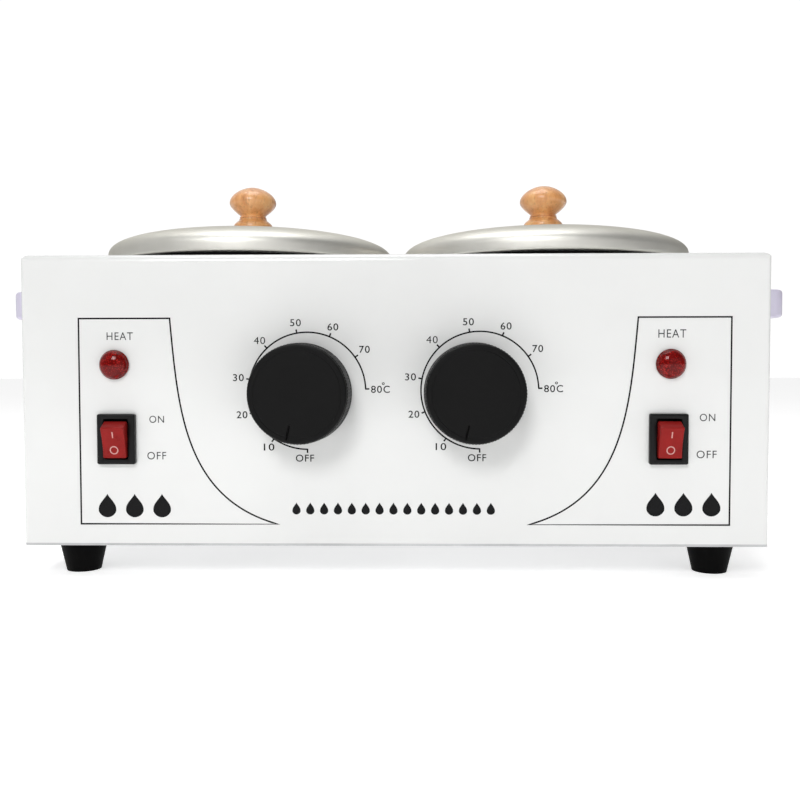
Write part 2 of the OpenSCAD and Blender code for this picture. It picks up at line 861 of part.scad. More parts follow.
// A turned knob: a round foot, a narrow neck and a wide domed head
module lid_knob(side) {
    foot_r = 9.7;
    foot_z = 2.4;
    neck_z = 7.5;
    neck_h = 1.5;
    head_z = 15;
    head_from = -6;
    foot_curve = [for (a = [0:15:90])
        [lid_neck_r + (foot_r - lid_neck_r) * cos(a), foot_z + (neck_z - foot_z) * sin(a)]];
    head_curve = [for (i = [0:12]) let (a = head_from + (90 - head_from) * i / 12)
        [lid_knob_r * cos(a), head_z + (lid_knob_h - head_z) * sin(a)]];
    color(WOOD)
    at_well(side) translate([0, 0, lid_crown_z]) difference() {
        rotate_extrude() polygon(concat(
            [[0, 0], [foot_r - 1, 0], [foot_r, 1]],
            foot_curve,
            [[lid_neck_r, neck_z + neck_h]],
            head_curve
        ));
        translate([0, 0, -over]) cylinder(h = lid_screw_grip + over + 0.5, r = lid_screw_r + hair);
    }
}

module lid_screw(side) {
    color(STEEL)
    at_well(side) translate([0, 0, lid_crown_z - lid_wall - washer_t - 2 * hair]) rotate([180, 0, 0])
        screw(lid_screw_r, 4, 2.2, lid_wall + washer_t + lid_screw_grip);
}

module lid_washer(side) {
    color(STEEL)
    at_well(side) translate([0, 0, lid_crown_z - lid_wall - washer_t - hair]) difference() {
        cylinder(h = washer_t, r = washer_r);
        translate([0, 0, -over]) cylinder(h = washer_t + 2 * over, r = lid_screw_r + screw_gap);
    }
}

// ---- Nodes ----

housing_shell();
base_plate();
foot_at("left", front_y + foot_inset);  // foot_front_left
foot_at("right", front_y + foot_inset);  // foot_front_right
foot_at("left", rear_y - foot_inset);  // foot_rear_left
foot_at("right", rear_y - foot_inset);  // foot_rear_right
foot_screws();
base_screws();
side_handle("left");  // side_handle_left
side_handle("right");  // side_handle_right
handle_screws();
seat_ring("left");  // seat_ring_left
seat_ring("right");  // seat_ring_right
well("left");  // well_left
well("right");  // well_right
heater_band("left");  // heater_band_left
heater_band("right");  // heater_band_right
band_bolts();
insulation("left");  // insulation_left
insulation("right");  // insulation_right
thermostat("left");  // thermostat_left
thermostat("right");  // thermostat_right
thermostat_screws();
sensor_bulb("left");  // sensor_bulb_left
sensor_bulb("right");  // sensor_bulb_right
thermal_cutoff("left");  // thermal_cutoff_left
thermal_cutoff("right");  // thermal_cutoff_right
switch_housing("left");  // switch_housing_left
switch_housing("right");  // switch_housing_right
switch_terminals("left");  // switch_terminals_left
switch_terminals("right");  // switch_terminals_right
indicator_lens("left");  // indicator_lens_left
indicator_lens("right");  // indicator_lens_right
indicator_body("left");  // indicator_body_left
indicator_body("right");  // indicator_body_right
indicator_nuts();
terminal_block();
cord_gland();
earth_screw();
wiring("left");  // wiring_left
wiring("right");  // wiring_right
rocker("left");  // rocker_left
rocker("right");  // rocker_right
control_knob("left");  // control_knob_left
control_knob("right");  // control_knob_right
thermostat_shaft("left");  // thermostat_shaft_left
thermostat_shaft("right");  // thermostat_shaft_right
pot("left");  // pot_left
pot("right");  // pot_right
lid("left");  // lid_left
lid("right");  // lid_right
lid_knob("left");  // lid_knob_left
lid_knob("right");  // lid_knob_right
lid_screw("left");  // lid_screw_left
lid_screw("right");  // lid_screw_right
lid_washer("left");  // lid_washer_left
lid_washer("right");  // lid_washer_right
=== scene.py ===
import json
import math

import bpy
from mathutils import Matrix, Vector


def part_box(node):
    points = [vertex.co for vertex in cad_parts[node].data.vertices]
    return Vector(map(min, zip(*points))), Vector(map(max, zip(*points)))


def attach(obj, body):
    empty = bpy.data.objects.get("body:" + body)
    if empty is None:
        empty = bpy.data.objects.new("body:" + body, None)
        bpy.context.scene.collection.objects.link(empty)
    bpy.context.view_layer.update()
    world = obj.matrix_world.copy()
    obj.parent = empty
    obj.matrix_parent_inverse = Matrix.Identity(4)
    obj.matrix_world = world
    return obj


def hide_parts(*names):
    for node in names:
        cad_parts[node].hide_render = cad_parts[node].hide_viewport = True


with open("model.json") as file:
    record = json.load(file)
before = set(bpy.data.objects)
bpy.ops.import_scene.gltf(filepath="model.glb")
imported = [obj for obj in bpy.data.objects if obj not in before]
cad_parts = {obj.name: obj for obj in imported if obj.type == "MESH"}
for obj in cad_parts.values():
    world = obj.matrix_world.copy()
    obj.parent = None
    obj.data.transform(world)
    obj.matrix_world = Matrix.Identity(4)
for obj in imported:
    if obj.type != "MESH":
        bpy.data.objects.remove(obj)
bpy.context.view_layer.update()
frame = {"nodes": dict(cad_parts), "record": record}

# ---- Sizes ----

MM = 0.001
SIDES = ("left", "right")
FLIP = {"left": -1, "right": 1}

PANEL_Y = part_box("housing_shell")[0].y


def centre_of(node):
    low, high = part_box(node)
    return (low + high) / 2


# ---- Mesh building ----

def new_piece(name, verts, faces, body, material, replaces=(), sharp=35):
    """A mesh object that rides on a body, with smooth shading broken at sharp edges."""
    mesh = bpy.data.meshes.new(name)
    mesh.from_pydata([tuple(v) for v in verts], [], faces)
    mesh.validate()
    for polygon in mesh.polygons:
        polygon.use_smooth = True
    mesh.set_sharp_from_angle(angle=math.radians(sharp))
    mesh.materials.append(material)
    piece = bpy.data.objects.new(name, mesh)
    bpy.context.scene.collection.objects.link(piece)
    if replaces:
        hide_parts(*replaces)
    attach(piece, body)


def upright(centre, base_z):
    """Puts a turned shape's axis along Z."""
    return lambda x, y, h: Vector((centre.x + x, centre.y + y, base_z + h))


def facing_front(centre):
    """Puts a turned shape's axis towards the front, with h measured out of the panel."""
    return lambda x, y, h: Vector((centre.x + x, PANEL_Y - h, centre.z + y))


def strip_faces(rows, closed=False):
    """Faces between neighbouring rows of vertex numbers. A row of one is a pole."""
    if closed:
        rows = rows + [rows[0]]
    faces = []
    for lower, upper in zip(rows, rows[1:]):
        count = max(len(lower), len(upper))
        for i in range(count):
            j = (i + 1) % count
            ring = [lower[i % len(lower)], lower[j % len(lower)],
                    upper[j % len(upper)], upper[i % len(upper)]]
            faces.append(tuple(dict.fromkeys(ring)))
    return faces


def capped_faces(rows):
    """Faces between the rows, and one over each end."""
    return strip_faces(rows) + [tuple(reversed(rows[0])), tuple(rows[-1])]


def band_faces(base, n, closed=True):
    """Faces of a thin band. Its vertices start at base: n along one edge and n along the other,
    first on the back and then on the front."""
    faces = []
    for i in range(n if closed else n - 1):
        a, b = base + i, base + (i + 1) % n
        faces += [(a, b, b + n, a + n), (a + 2 * n, a + 3 * n, b + 3 * n, b + 2 * n),
                  (a, a + 2 * n, b + 2 * n, b), (a + n, b + n, b + 3 * n, a + 3 * n)]
    if not closed:
        a, b = base, base + n - 1
        faces += [(a, a + n, a + 3 * n, a + 2 * n), (b, b + 2 * n, b + 3 * n, b + n)]
    return faces


def turned(profile, steps, place, closed=False, shape=None):
    """Turns (radius, height) points in mm round an axis. shape may move each point."""
    verts, rows = [], []
    for k, (radius, height) in enumerate(profile):
        row = []
        for i in range(1 if radius == 0 else steps):
            angle = 2 * math.pi * i / steps
            r, h = shape(k, angle, radius, height) if shape and radius else (radius, height)
            row.append(len(verts))
            verts.append(place(r * math.cos(angle) * MM, r * math.sin(angle) * MM, h * MM))
        rows.append(row)
    return verts, strip_faces(rows, closed)


def turned_piece(name, profile, steps, place, body, material, replaces=(),
                 closed=False, shape=None, sharp=35):
    verts, faces = turned(profile, steps, place, closed, shape)
    new_piece(name, verts, outward(verts, faces), body, material, replaces, sharp)


def outward(verts, faces):
    """Turns every face the same way round if the closed shape came out inside out."""
    volume = 0
    for face in faces:
        a = verts[face[0]]
        for b, c in zip(face[1:], face[2:]):
            volume += a.dot(verts[b].cross(verts[c]))
    return faces if volume > 0 else [tuple(reversed(f)) for f in faces]


# ---- Materials ----

class Finish:
    """One procedural material. Its patterns are set out in the row frame, in metres."""

    def __init__(self, name, colour, roughness, metallic=0.0):
        self.material = bpy.data.materials.new(name)
        self.material.use_nodes = True
        self.nodes = self.material.node_tree.nodes
        self.links = self.material.node_tree.links
        self.shader = next(n for n in self.nodes if n.type == "BSDF_PRINCIPLED")
        self.set("Base Color", (*colour, 1))
        self.set("Roughness", roughness)
        self.set("Metallic", metallic)
        self.place = self.nodes.new("ShaderNodeTexCoord").outputs["Object"]
        self.last_bump = None

    def set(self, socket, value):
        self.shader.inputs[socket].default_value = value
        return self

    def node(self, kind, **settings):
        made = self.nodes.new(kind)
        for key, value in settings.items():
            setattr(made, key, value)
        return made

    def mapped(self, scale=(1, 1, 1), offset=(0, 0, 0), turn=(0, 0, 0)):
        made = self.node("ShaderNodeMapping")
        made.inputs["Scale"].default_value = scale
        made.inputs["Location"].default_value = offset
        made.inputs["Rotation"].default_value = turn
        self.links.new(self.place, made.inputs["Vector"])
        return made.outputs["Vector"]

    def noise(self, size, detail=3, rough=0.5, source=None, distortion=0.0):
        """A noise pattern whose features are about size mm across."""
        made = self.node("ShaderNodeTexNoise")
        made.inputs["Scale"].default_value = 1 / (size * MM)
        made.inputs["Detail"].default_value = detail
        made.inputs["Roughness"].default_value = rough
        made.inputs["Distortion"].default_value = distortion
        self.links.new(source or self.place, made.inputs["Vector"])
        return made.outputs["Fac"]

    def cells(self, size):
        """The distance to the middle of the nearest cell, for cells about size mm across."""
        made = self.node("ShaderNodeTexVoronoi", feature="F1")
        made.inputs["Scale"].default_value = 1 / (size * MM)
        self.links.new(self.place, made.inputs["Vector"])
        return made.outputs["Distance"]

    def rings(self, centre, size, detail=2):
        """Noise that only changes with the distance from a vertical axis, like turning marks."""
        moved = self.mapped(offset=(-centre.x, -centre.y, 0))
        flat = self.node("ShaderNodeVectorMath", operation="MULTIPLY")
        flat.inputs[1].default_value = (1, 1, 0)
        self.links.new(moved, flat.inputs[0])
        length = self.node("ShaderNodeVectorMath", operation="LENGTH")
        self.links.new(flat.outputs["Vector"], length.inputs[0])
        made = self.node("ShaderNodeTexNoise", noise_dimensions="1D")
        made.inputs["Scale"].default_value = 1 / (size * MM)
        made.inputs["Detail"].default_value = detail
        self.links.new(length.outputs["Value"], made.inputs["W"])
        return made.outputs["Fac"]

    def spread(self, factor, low, high, start=0.3, end=0.7):
        """Stretches a pattern's start to end over low to high."""
        made = self.node("ShaderNodeMapRange")
        made.inputs["From Min"].default_value = start
        made.inputs["From Max"].default_value = end
        made.inputs["To Min"].default_value = low
        made.inputs["To Max"].default_value = high
        self.links.new(factor, made.inputs["Value"])
        return made.outputs["Result"]

    def ramp(self, factor, stops):
        made = self.node("ShaderNodeValToRGB")
        elements = made.color_ramp.elements
        while len(elements) < len(stops):
            elements.new(0.5)
        for element, (position, colour) in zip(elements, stops):
            element.position = position
            element.color = (*colour, 1)
        self.links.new(factor, made.inputs["Fac"])
        return made.outputs["Color"]

    def blend(self, factor, first, second):
        """Mixes two colours, each a value or another node's output."""
        made = self.node("ShaderNodeMix", data_type="RGBA")
        self.links.new(factor, made.inputs["Factor"])
        for socket, value in ((made.inputs[6], first), (made.inputs[7], second)):
            if isinstance(value, tuple):
                socket.default_value = (*value, 1)
            else:
                self.links.new(value, socket)
        return made.outputs[2]

    def colour(self, output):
        self.links.new(output, self.shader.inputs["Base Color"])
        return self

    def rough(self, factor, low, high, start=0.3, end=0.7):
        self.links.new(self.spread(factor, low, high, start, end), self.shader.inputs["Roughness"])
        return self

    def bump(self, factor, depth):
        """Relief of that depth in mm. Several calls add up."""
        made = self.node("ShaderNodeBump")
        made.inputs["Strength"].default_value = 1.0
        made.inputs["Distance"].default_value = depth * MM
        self.links.new(factor, made.inputs["Height"])
        if self.last_bump:
            self.links.new(self.last_bump, made.inputs["Normal"])
        self.last_bump = made.outputs["Normal"]
        self.links.new(self.last_bump, self.shader.inputs["Normal"])
        return self


def shade(colour, factor):
    """The same colour, lighter or darker."""
    return tuple(min(1.0, c * factor) for c in colour)


def moulded(name, colour, roughness, grain=0.35, relief=0.02, vary=0.12, gloss=0.4):
    """Moulded plastic or rubber: a fine spark-eroded grain and slight patches of gloss."""
    f = Finish(name, colour, roughness)
    grains = f.noise(grain, detail=4, rough=0.6)
    patches = f.noise(14, detail=3)
    f.colour(f.ramp(patches, [(0.3, shade(colour, 1 - vary)), (0.7, shade(colour, 1 + vary))]))
    f.rough(patches, roughness * 0.86, min(1, roughness * 1.14))
    f.bump(grains, relief)
    f.set("Specular IOR Level", gloss)
    return f


def sheet_metal(name, colour, roughness, stretch=(1, 1, 0.04)):
    """Rolled or plated sheet: fine lines along the rolling direction and cloudy tone."""
    f = Finish(name, colour, roughness, metallic=1.0)
    lines = f.noise(0.5, detail=4, source=f.mapped(scale=stretch))
    clouds = f.noise(22, detail=4)
    f.colour(f.ramp(clouds, [(0.3, shade(colour, 0.86)), (0.7, shade(colour, 1.08))]))
    f.rough(lines, roughness * 0.8, roughness * 1.25)
    f.bump(lines, 0.006)
    return f


def make_enamel():
    """Glossy white baked enamel: a faint orange-peel surface and fine specks."""
    colour = (0.79, 0.795, 0.786)
    f = Finish("enamel", colour, 0.2)
    f.set("Coat Weight", 0.6)
    f.set("Coat Roughness", 0.05)
    clouds = f.noise(45, detail=3)
    specks = f.noise(0.9, detail=2)
    f.colour(f.ramp(clouds, [(0.25, shade(colour, 0.975)), (0.75, shade(colour, 1.02))]))
    f.rough(clouds, 0.16, 0.27)
    f.bump(f.noise(5.5, detail=1), 0.012)
    f.bump(specks, 0.003)
    return f.material


def make_ink(name, colour):
    """Screen-printed ink, slightly uneven."""
    f = Finish(name, colour, 0.45)
    f.set("Specular IOR Level", 0.12)
    patches = f.noise(0.6, detail=3)
    f.colour(f.ramp(patches, [(0.2, shade(colour, 0.6)), (0.8, shade(colour, 1.6))]))
    f.rough(patches, 0.36, 0.55)
    f.bump(f.noise(0.25), 0.004)
    return f.material


def make_lid(side):
    """Satin aluminium with fine turning marks round the lid's own axis."""
    centre = centre_of("lid_" + side)
    f = Finish("lid_aluminium_" + side, (0.72, 0.71, 0.67), 0.34, metallic=1.0)
    fine = f.rings(centre, 0.35, detail=3)
    broad = f.rings(centre, 6, detail=2)
    clouds = f.noise(18, detail=4)
    f.colour(f.blend(f.spread(clouds, 0, 1), (0.76, 0.75, 0.7), (0.84, 0.83, 0.78)))
    f.set("Specular Tint", (0.42, 0.4, 0.34, 1))
    f.rough(broad, 0.46, 0.54)
    f.bump(fine, 0.006)
    f.bump(f.noise(0.45, detail=4), 0.014)
    f.set("Anisotropic", 0.15)
    tangent = f.node("ShaderNodeTangent", direction_type="RADIAL", axis="Z")
    f.links.new(tangent.outputs["Tangent"], f.shader.inputs["Tangent"])
    return f.material


def make_pot_metal():
    """Spun aluminium: fine lines round the pot and a cloudy tone."""
    f = Finish("pot_aluminium", (0.74, 0.74, 0.72), 0.3, metallic=1.0)
    bands = f.noise(0.8, detail=4, source=f.mapped(scale=(0.006, 0.006, 1)))
    clouds = f.noise(16, detail=4)
    f.colour(f.ramp(clouds, [(0.3, (0.66, 0.66, 0.64)), (0.7, (0.79, 0.79, 0.77))]))
    f.rough(bands, 0.28, 0.38)
    f.bump(bands, 0.004)
    return f.material


def make_wood(side):
    """Turned beech: a pale ground, darker growth rings along Z, short dark rays and varnish."""
    seed = {"left": 0.0, "right": 0.37}[side]
    f = Finish("wood_" + side, (0.62, 0.41, 0.22), 0.4)
    f.set("Coat Weight", 0.9)
    f.set("Coat Roughness", 0.28)
    along = f.mapped(scale=(1, 1, 0.16), offset=(seed, seed / 2, 0), turn=(0.12, 0.08, 0))
    figure = f.noise(5, detail=4, rough=0.55, source=along, distortion=0.6)
    fibres = f.noise(0.5, detail=3, rough=0.7, source=f.mapped(scale=(1, 1, 0.05)))
    rays = f.noise(1.1, detail=2, source=f.mapped(scale=(1, 1, 0.22)))
    ground = f.ramp(figure, [(0.3, (0.86, 0.49, 0.2)), (0.5, (0.78, 0.36, 0.12)),
                             (0.68, (0.6, 0.21, 0.045))])
    rayed = f.blend(f.spread(rays, 0, 0.6, 0.56, 0.72), ground, (0.38, 0.15, 0.035))
    f.colour(f.blend(f.spread(fibres, 0, 0.25, 0.35, 0.75), rayed, (0.92, 0.58, 0.28)))
    f.rough(figure, 0.34, 0.5)
    f.bump(fibres, 0.03)
    f.bump(rays, 0.02)
    return f.material


def make_lens():
    """Deep red moulding with painted glints: small cells painted bright red at the middle and dark
    red at the edge, in place of prisms glinting inside it.
    """
    f = Finish("lens", (0.16, 0.003, 0.003), 0.05)
    f.set("Transmission Weight", 0.25)
    f.set("IOR", 1.45)
    f.set("Specular IOR Level", 0.2)
    swirls = f.noise(2.6, detail=2)
    # Painted glints: bright red at the middle of each small cell, dark red towards its edge.
    painted_glints = f.ramp(f.cells(0.62), [(0.12, (0.9, 0.03, 0.02)), (0.34, (0.32, 0.005, 0.004)),
                                    (0.7, (0.13, 0.001, 0.001))])
    f.colour(f.blend(f.spread(swirls, 0, 0.75), painted_glints, (0.14, 0.001, 0.001)))
    f.rough(swirls, 0.03, 0.07)
    f.bump(swirls, 0.006)
    return f.material


def make_reflector():
    """Red jewel with small facets, and painted glints: each facet painted bright red at its middle
    and dark red at its edge.
    """
    f = Finish("lens_reflector", (0.6, 0.02, 0.015), 0.2)
    facets_and_glints = f.cells(0.7)
    # Painted glints on the facets; the same cells also give the real facet relief and roughness.
    f.colour(f.ramp(facets_and_glints, [(0.1, (0.85, 0.05, 0.03)), (0.35, (0.3, 0.006, 0.005)),
                             (0.7, (0.1, 0.002, 0.002))]))
    f.rough(facets_and_glints, 0.12, 0.4, 0.1, 0.7)
    f.bump(facets_and_glints, 0.12)
    return f.material


def make_rocker():
    """Red moulded plastic with a fine grain."""
    colour = (0.26, 0.012, 0.011)
    f = Finish("rocker_plastic", colour, 0.34)
    f.set("Specular IOR Level", 0.12)
    patches = f.noise(5, detail=3)
    f.colour(f.ramp(patches, [(0.3, shade(colour, 0.88)), (0.7, shade(colour, 1.15))]))
    f.rough(patches, 0.26, 0.4)
    f.bump(f.noise(0.25, detail=3), 0.008)
    return f.material


def make_mark():
    """Pale pink print on the rockers."""
    f = Finish("mark_print", (0.62, 0.33, 0.31), 0.5)
    patches = f.noise(0.4, detail=3)
    f.colour(f.ramp(patches, [(0.3, (0.5, 0.25, 0.23)), (0.7, (0.7, 0.38, 0.36))]))
    f.rough(patches, 0.4, 0.6)
    f.bump(patches, 0.01)
    return f.material


def make_felt():
    """Matted mineral fibres."""
    f = Finish("felt", (0.6, 0.57, 0.48), 0.95)
    fibres = f.noise(1.2, detail=6, rough=0.75, distortion=2.0)
    f.colour(f.ramp(fibres, [(0.3, (0.42, 0.39, 0.32)), (0.7, (0.7, 0.67, 0.58))]))
    f.rough(fibres, 0.88, 1.0)
    f.bump(fibres, 0.5)
    f.set("Sheen Weight", 0.3)
    return f.material


def make_floor():
    """Nearly white studio floor, lit a little from within so that it stays bright."""
    f = Finish("floor", (0.86, 0.86, 0.86), 0.85)
    f.colour(f.ramp(f.noise(120), [(0.3, (0.85, 0.85, 0.85)), (0.7, (0.88, 0.88, 0.88))]))
    f.set("Specular IOR Level", 0.1)
    f.set("Emission Color", (1, 1, 1, 1))
    f.set("Emission Strength", 0.53)
    return f.material


knob_black = moulded("knob_plastic", (0.0028, 0.0028, 0.0029), 0.48, grain=0.3, relief=0.012,
                     gloss=0.14)
bezel_black = moulded("bezel_plastic", (0.005, 0.005, 0.0053), 0.34, grain=0.25, relief=0.008,
                      gloss=0.2)
rubber = moulded("rubber", (0.0012, 0.0012, 0.0012), 0.6, grain=0.4, relief=0.03, gloss=0.06)
phenolic = moulded("moulded_black", (0.02, 0.018, 0.016), 0.35, grain=0.6, relief=0.015)
lilac = moulded("handle_plastic", (0.59, 0.56, 0.68), 0.38, grain=0.4, relief=0.012, vary=0.04)
lilac.set("Subsurface Weight", 0.15)
lilac.set("Subsurface Radius", (0.004, 0.003, 0.005))
nylon = moulded("nylon", (0.75, 0.73, 0.66), 0.45, vary=0.06)
ceramic = moulded("ceramic", (0.78, 0.75, 0.68), 0.3, grain=0.8, relief=0.02, vary=0.06)
wire_cover = moulded("wire", (0.45, 0.06, 0.04), 0.5, grain=0.5, vary=0.1)
heater_jacket = sheet_metal("heater", (0.42, 0.36, 0.26), 0.45)
plated = sheet_metal("plated_steel", (0.54, 0.545, 0.55), 0.38, stretch=(1, 0.05, 1))
screws = sheet_metal("screw_steel", (0.66, 0.66, 0.65), 0.28)
copper = sheet_metal("copper", (0.72, 0.36, 0.2), 0.3)
brass = sheet_metal("brass", (0.72, 0.52, 0.22), 0.28)

materials = {
    "enamel": make_enamel(),
    "plated_steel": plated.material,
    "screw_steel": screws.material,
    "rubber": rubber.material,
    "handle_plastic": lilac.material,
    "pot_aluminium": make_pot_metal(),
    "heater": heater_jacket.material,
    "felt": make_felt(),
    "moulded_black": phenolic.material,
    "copper": copper.material,
    "bezel_plastic": bezel_black.material,
    "brass": brass.material,
    "nylon": nylon.material,
    "ceramic": ceramic.material,
    "wire": wire_cover.material,
    "rocker_plastic": make_rocker(),
    "knob_plastic": knob_black.material,
    "lens": make_lens(),
}
# Matte black fill for the knobs' pointer grooves: painted shade, duller than the knob around it.
groove_shade_paint = moulded("groove_shade_paint", (0.002, 0.002, 0.002), 0.7, grain=0.3, vary=0.3,
                        gloss=0.04).material
ink = make_ink("panel_print", (0.006, 0.006, 0.0065))
faint_ink = make_ink("panel_print_thin", (0.045, 0.046, 0.048))
mark_paint = make_mark()
reflector = make_reflector()
lid_metal = {side: make_lid(side) for side in SIDES}
wood = {side: make_wood(side) for side in SIDES}


def dress_cad():
    """Gives every CAD node its finish."""
    for part in frame["record"]["subparts"]:
        node, slot = part["node"], part["material_slot"]
        side = "left" if node.endswith("_left") else "right"
        finish = {"lid_aluminium": lid_metal[side], "wood": wood[side]}.get(slot)
        piece = frame["nodes"][node]
        piece.data.materials.clear()
        piece.data.materials.append(finish or materials[slot])


# ---- Control knobs ----

KNOB_GAP = 1.5
KNOB_TEETH, TOOTH_DEPTH, STEPS_PER_TOOTH = 96, 0.17, 6
KNOB_TAPER, GRIP_STEPS = 0.45, 6
# (radius, depth below the highest point) across the dished face, with a ring and the groove
KNOB_FACE = [(18.35, 0.02), (18.2, 0.02), (17.4, 0.04), (17.2, 0.16), (16.95, 0.16), (16.75, 0.05),
             (15.5, 0.06), (14.0, 0.08), (12.45, 0.1), (12.3, 0.1), (9, 0.14), (5, 0.17),
             (2, 0.18), (0, 0.18)]
POINTER_TURN = 13
GROOVE_FROM, GROOVE_TO, GROOVE_HALF, GROOVE_DEPTH = 12.3, 18.3, 0.38, 0.5
PAINT_FROM, PAINT_TO, PAINT_HALF = 12.7, 17.9, 0.17
PAINT_BACK, PAINT_FRONT = 0.49, 0.4


def build_knob(side):
    """A control knob with a foot flange, a toothed grip and a groove for its pointer."""
    node = "control_knob_" + side
    low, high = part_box(node)
    centre = (low + high) / 2
    proud = (PANEL_Y - low.y) / MM
    back_r = (high.x - low.x) / 2 / MM
    face_r = back_r - 0.7
    flange = [(0, 1.2), (12, 1.2), (back_r - 2.2, 1.2), (back_r - 2.0, 0.05), (back_r - 0.25, 0),
              (back_r, 0.25), (back_r, 0.75), (back_r - 0.28, 0.95), (back_r - 0.28, 1.2),
              (back_r - 0.02, 1.4), (back_r - 0.04, 1.95), (back_r - 0.3, 2.15),
              (back_r - 0.3, 2.4)]
    profile = [(r, KNOB_GAP + h) for r, h in flange]
    grip_first = len(profile)
    grip_from, grip_to = KNOB_GAP + 2.6, proud - 2.2
    for i in range(GRIP_STEPS + 1):
        t = i / GRIP_STEPS
        profile.append((back_r - 0.1 - KNOB_TAPER * t, grip_from + (grip_to - grip_from) * t))
    grip_last = len(profile) - 1
    edge = [(0.12, 1.9), (0.1, 1.0), (0.28, 0.45), (0.6, 0.14), (1.05, 0.02), (1.35, 0)]
    profile += [(face_r - inset, proud - depth) for inset, depth in edge]
    face_first = len(profile)
    profile += [(r, proud - depth) for r, depth in KNOB_FACE]
    pointer = math.radians(-90 - POINTER_TURN)

    def shape(k, angle, radius, height):
        if grip_first <= k <= grip_last:
            fade = 0.35 if k in (grip_first, grip_last) else 1.0
            wave = math.cos(angle * KNOB_TEETH)
            return radius + TOOTH_DEPTH * fade * (wave - 0.4), height
        if k >= face_first and GROOVE_FROM < radius < GROOVE_TO:
            off = (angle - pointer + math.pi) % (2 * math.pi) - math.pi
            if abs(off) * radius < GROOVE_HALF:
                return radius, proud - GROOVE_DEPTH
        return radius, height

    turned_piece(node + "_body", profile, KNOB_TEETH * STEPS_PER_TOOTH, facing_front(centre),
                 "knob_" + side, materials["knob_plastic"], replaces=(node,),
                 shape=shape, sharp=28)
    build_groove_shade_paint(side, centre, proud, pointer)


def build_groove_shade_paint(side, centre, proud, pointer):
    """A hair of matte black paint lying in the pointer groove: painted shade that keeps the groove
    dark.
    """
    verts = []
    along = Vector((math.cos(pointer), math.sin(pointer)))
    across = Vector((-along.y, along.x))
    corners = ((PAINT_FROM, -PAINT_HALF), (PAINT_TO, -PAINT_HALF), (PAINT_TO, PAINT_HALF),
               (PAINT_FROM, PAINT_HALF))
    for h in (proud - PAINT_BACK, proud - PAINT_FRONT):
        for distance, offset in corners:
            p = along * distance + across * offset
            verts.append(Vector((centre.x + p.x * MM, PANEL_Y - h * MM, centre.z + p.y * MM)))
    faces = [(0, 1, 2, 3), (7, 6, 5, 4), (0, 4, 5, 1), (1, 5, 6, 2), (2, 6, 7, 3), (3, 7, 4, 0)]
    new_piece("groove_shade_paint_" + side, verts, outward(verts, faces), "knob_" + side,
              groove_shade_paint)


# ---- Indicators ----

# (radius, height out of the panel) of the parts behind the panel, from front to back
LENS_BARREL = [(4.75, 0), (4.75, -4.4), (4.6, -4.6), (0, -4.6)]
LENS_BORE = [(3.6, 0.3), (3.6, -3.8), (0, -3.8)]
JEWEL_STEM = [(3.4, 0.5), (3.4, -3.4), (0, -3.4)]
COLLAR_H, COLLAR_STEP, LENS_WALL = 1.35, 0.4, 0.9
DOME_STEPS, HOLLOW_STEPS = 12, 9
JEWEL_SIDES, JEWEL_RELIEF, JEWEL_GAP = 18, 0.16, 1.2


def build_indicator(side):
    """A domed lens with a thick wall, and a jewel inside it."""
    node = "indicator_lens_" + side
    low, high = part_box(node)
    centre = (low + high) / 2
    proud = (PANEL_Y - low.y) / MM
    radius = (high.x - low.x) / 2 / MM
    edge_r = radius - COLLAR_STEP
    place = facing_front(centre)
    dome = LENS_BARREL[::-1] + [
        (radius - 0.15, 0.02), (radius, 0.2), (radius, 0.9), (radius - 0.12, 1.15),
        (edge_r, COLLAR_H)]
    for i in range(1, DOME_STEPS + 1):
        angle = math.radians(90 * i / DOME_STEPS)
        dome.append((edge_r * math.cos(angle) if i < DOME_STEPS else 0,
                     COLLAR_H + (proud - COLLAR_H) * math.sin(angle)))
    inner = [(0, proud - LENS_WALL)]
    for i in range(1, HOLLOW_STEPS):
        angle = math.radians(90 - 90 * i / HOLLOW_STEPS)
        inner.append(((edge_r - LENS_WALL) * math.cos(angle),
                      0.7 + (proud - 1.6) * math.sin(angle)))
    inner += [(edge_r - LENS_WALL, 0.4)] + LENS_BORE
    verts, faces = turned(dome, 64, place)
    faces = outward(verts, faces)
    hollow_verts, hollow_faces = turned(inner, 48, place)
    hollow_faces = [tuple(reversed(f)) for f in outward(hollow_verts, hollow_faces)]
    base = len(verts)
    faces += [tuple(base + i for i in f) for f in hollow_faces]
    new_piece(node + "_dome", verts + hollow_verts, faces, "housing",
              materials["lens"], replaces=(node,), sharp=40)
    build_diffuser(side, centre, proud, edge_r)


def build_diffuser(side, centre, proud, edge_r):
    """A faceted jewel inside the dome, which breaks up the light."""
    crown = [(0, 1.25), (1.1, 1.4), (2.15, 1.6), (3.1, 1.95), (3.9, 2.4)]
    rows = [(r, proud - depth) for r, depth in crown]
    rows += [(edge_r - JEWEL_GAP, 1.1), (edge_r - JEWEL_GAP, 0.6)] + JEWEL_STEM
    verts, rings = [], []
    place = facing_front(centre)
    for k, (radius, height) in enumerate(rows):
        ring = []
        for i in range(1 if radius == 0 else JEWEL_SIDES):
            angle = 2 * math.pi * (i + 0.5 * (k % 2)) / JEWEL_SIDES
            lift = JEWEL_RELIEF * (-1) ** (i + k) if 0 < k < len(crown) else 0
            ring.append(len(verts))
            verts.append(place(radius * math.cos(angle) * MM, radius * math.sin(angle) * MM,
                               (height + lift) * MM))
        rings.append(ring)
    faces = []
    for face in strip_faces(rings):
        faces += [face] if len(face) == 3 else [face[:3], (face[0], *face[2:])]
    new_piece("lens_diffuser_" + side, verts, outward(verts, faces), "housing",
              reflector, sharp=5)


# ---- Lids and their wooden knobs ----

LID_WALL = 1.2
LID_RING_H, LID_RING_R, LID_RING_WALL = 4, 57.4, 1
LID_BEAD, LID_UPRIGHT = 5, 3.2
LID_HOLE_R = 2.1
LID_SOFTNESS = 0.76  # under 1, the shoulder swells and the top flattens
TURNING_STEPS = 192


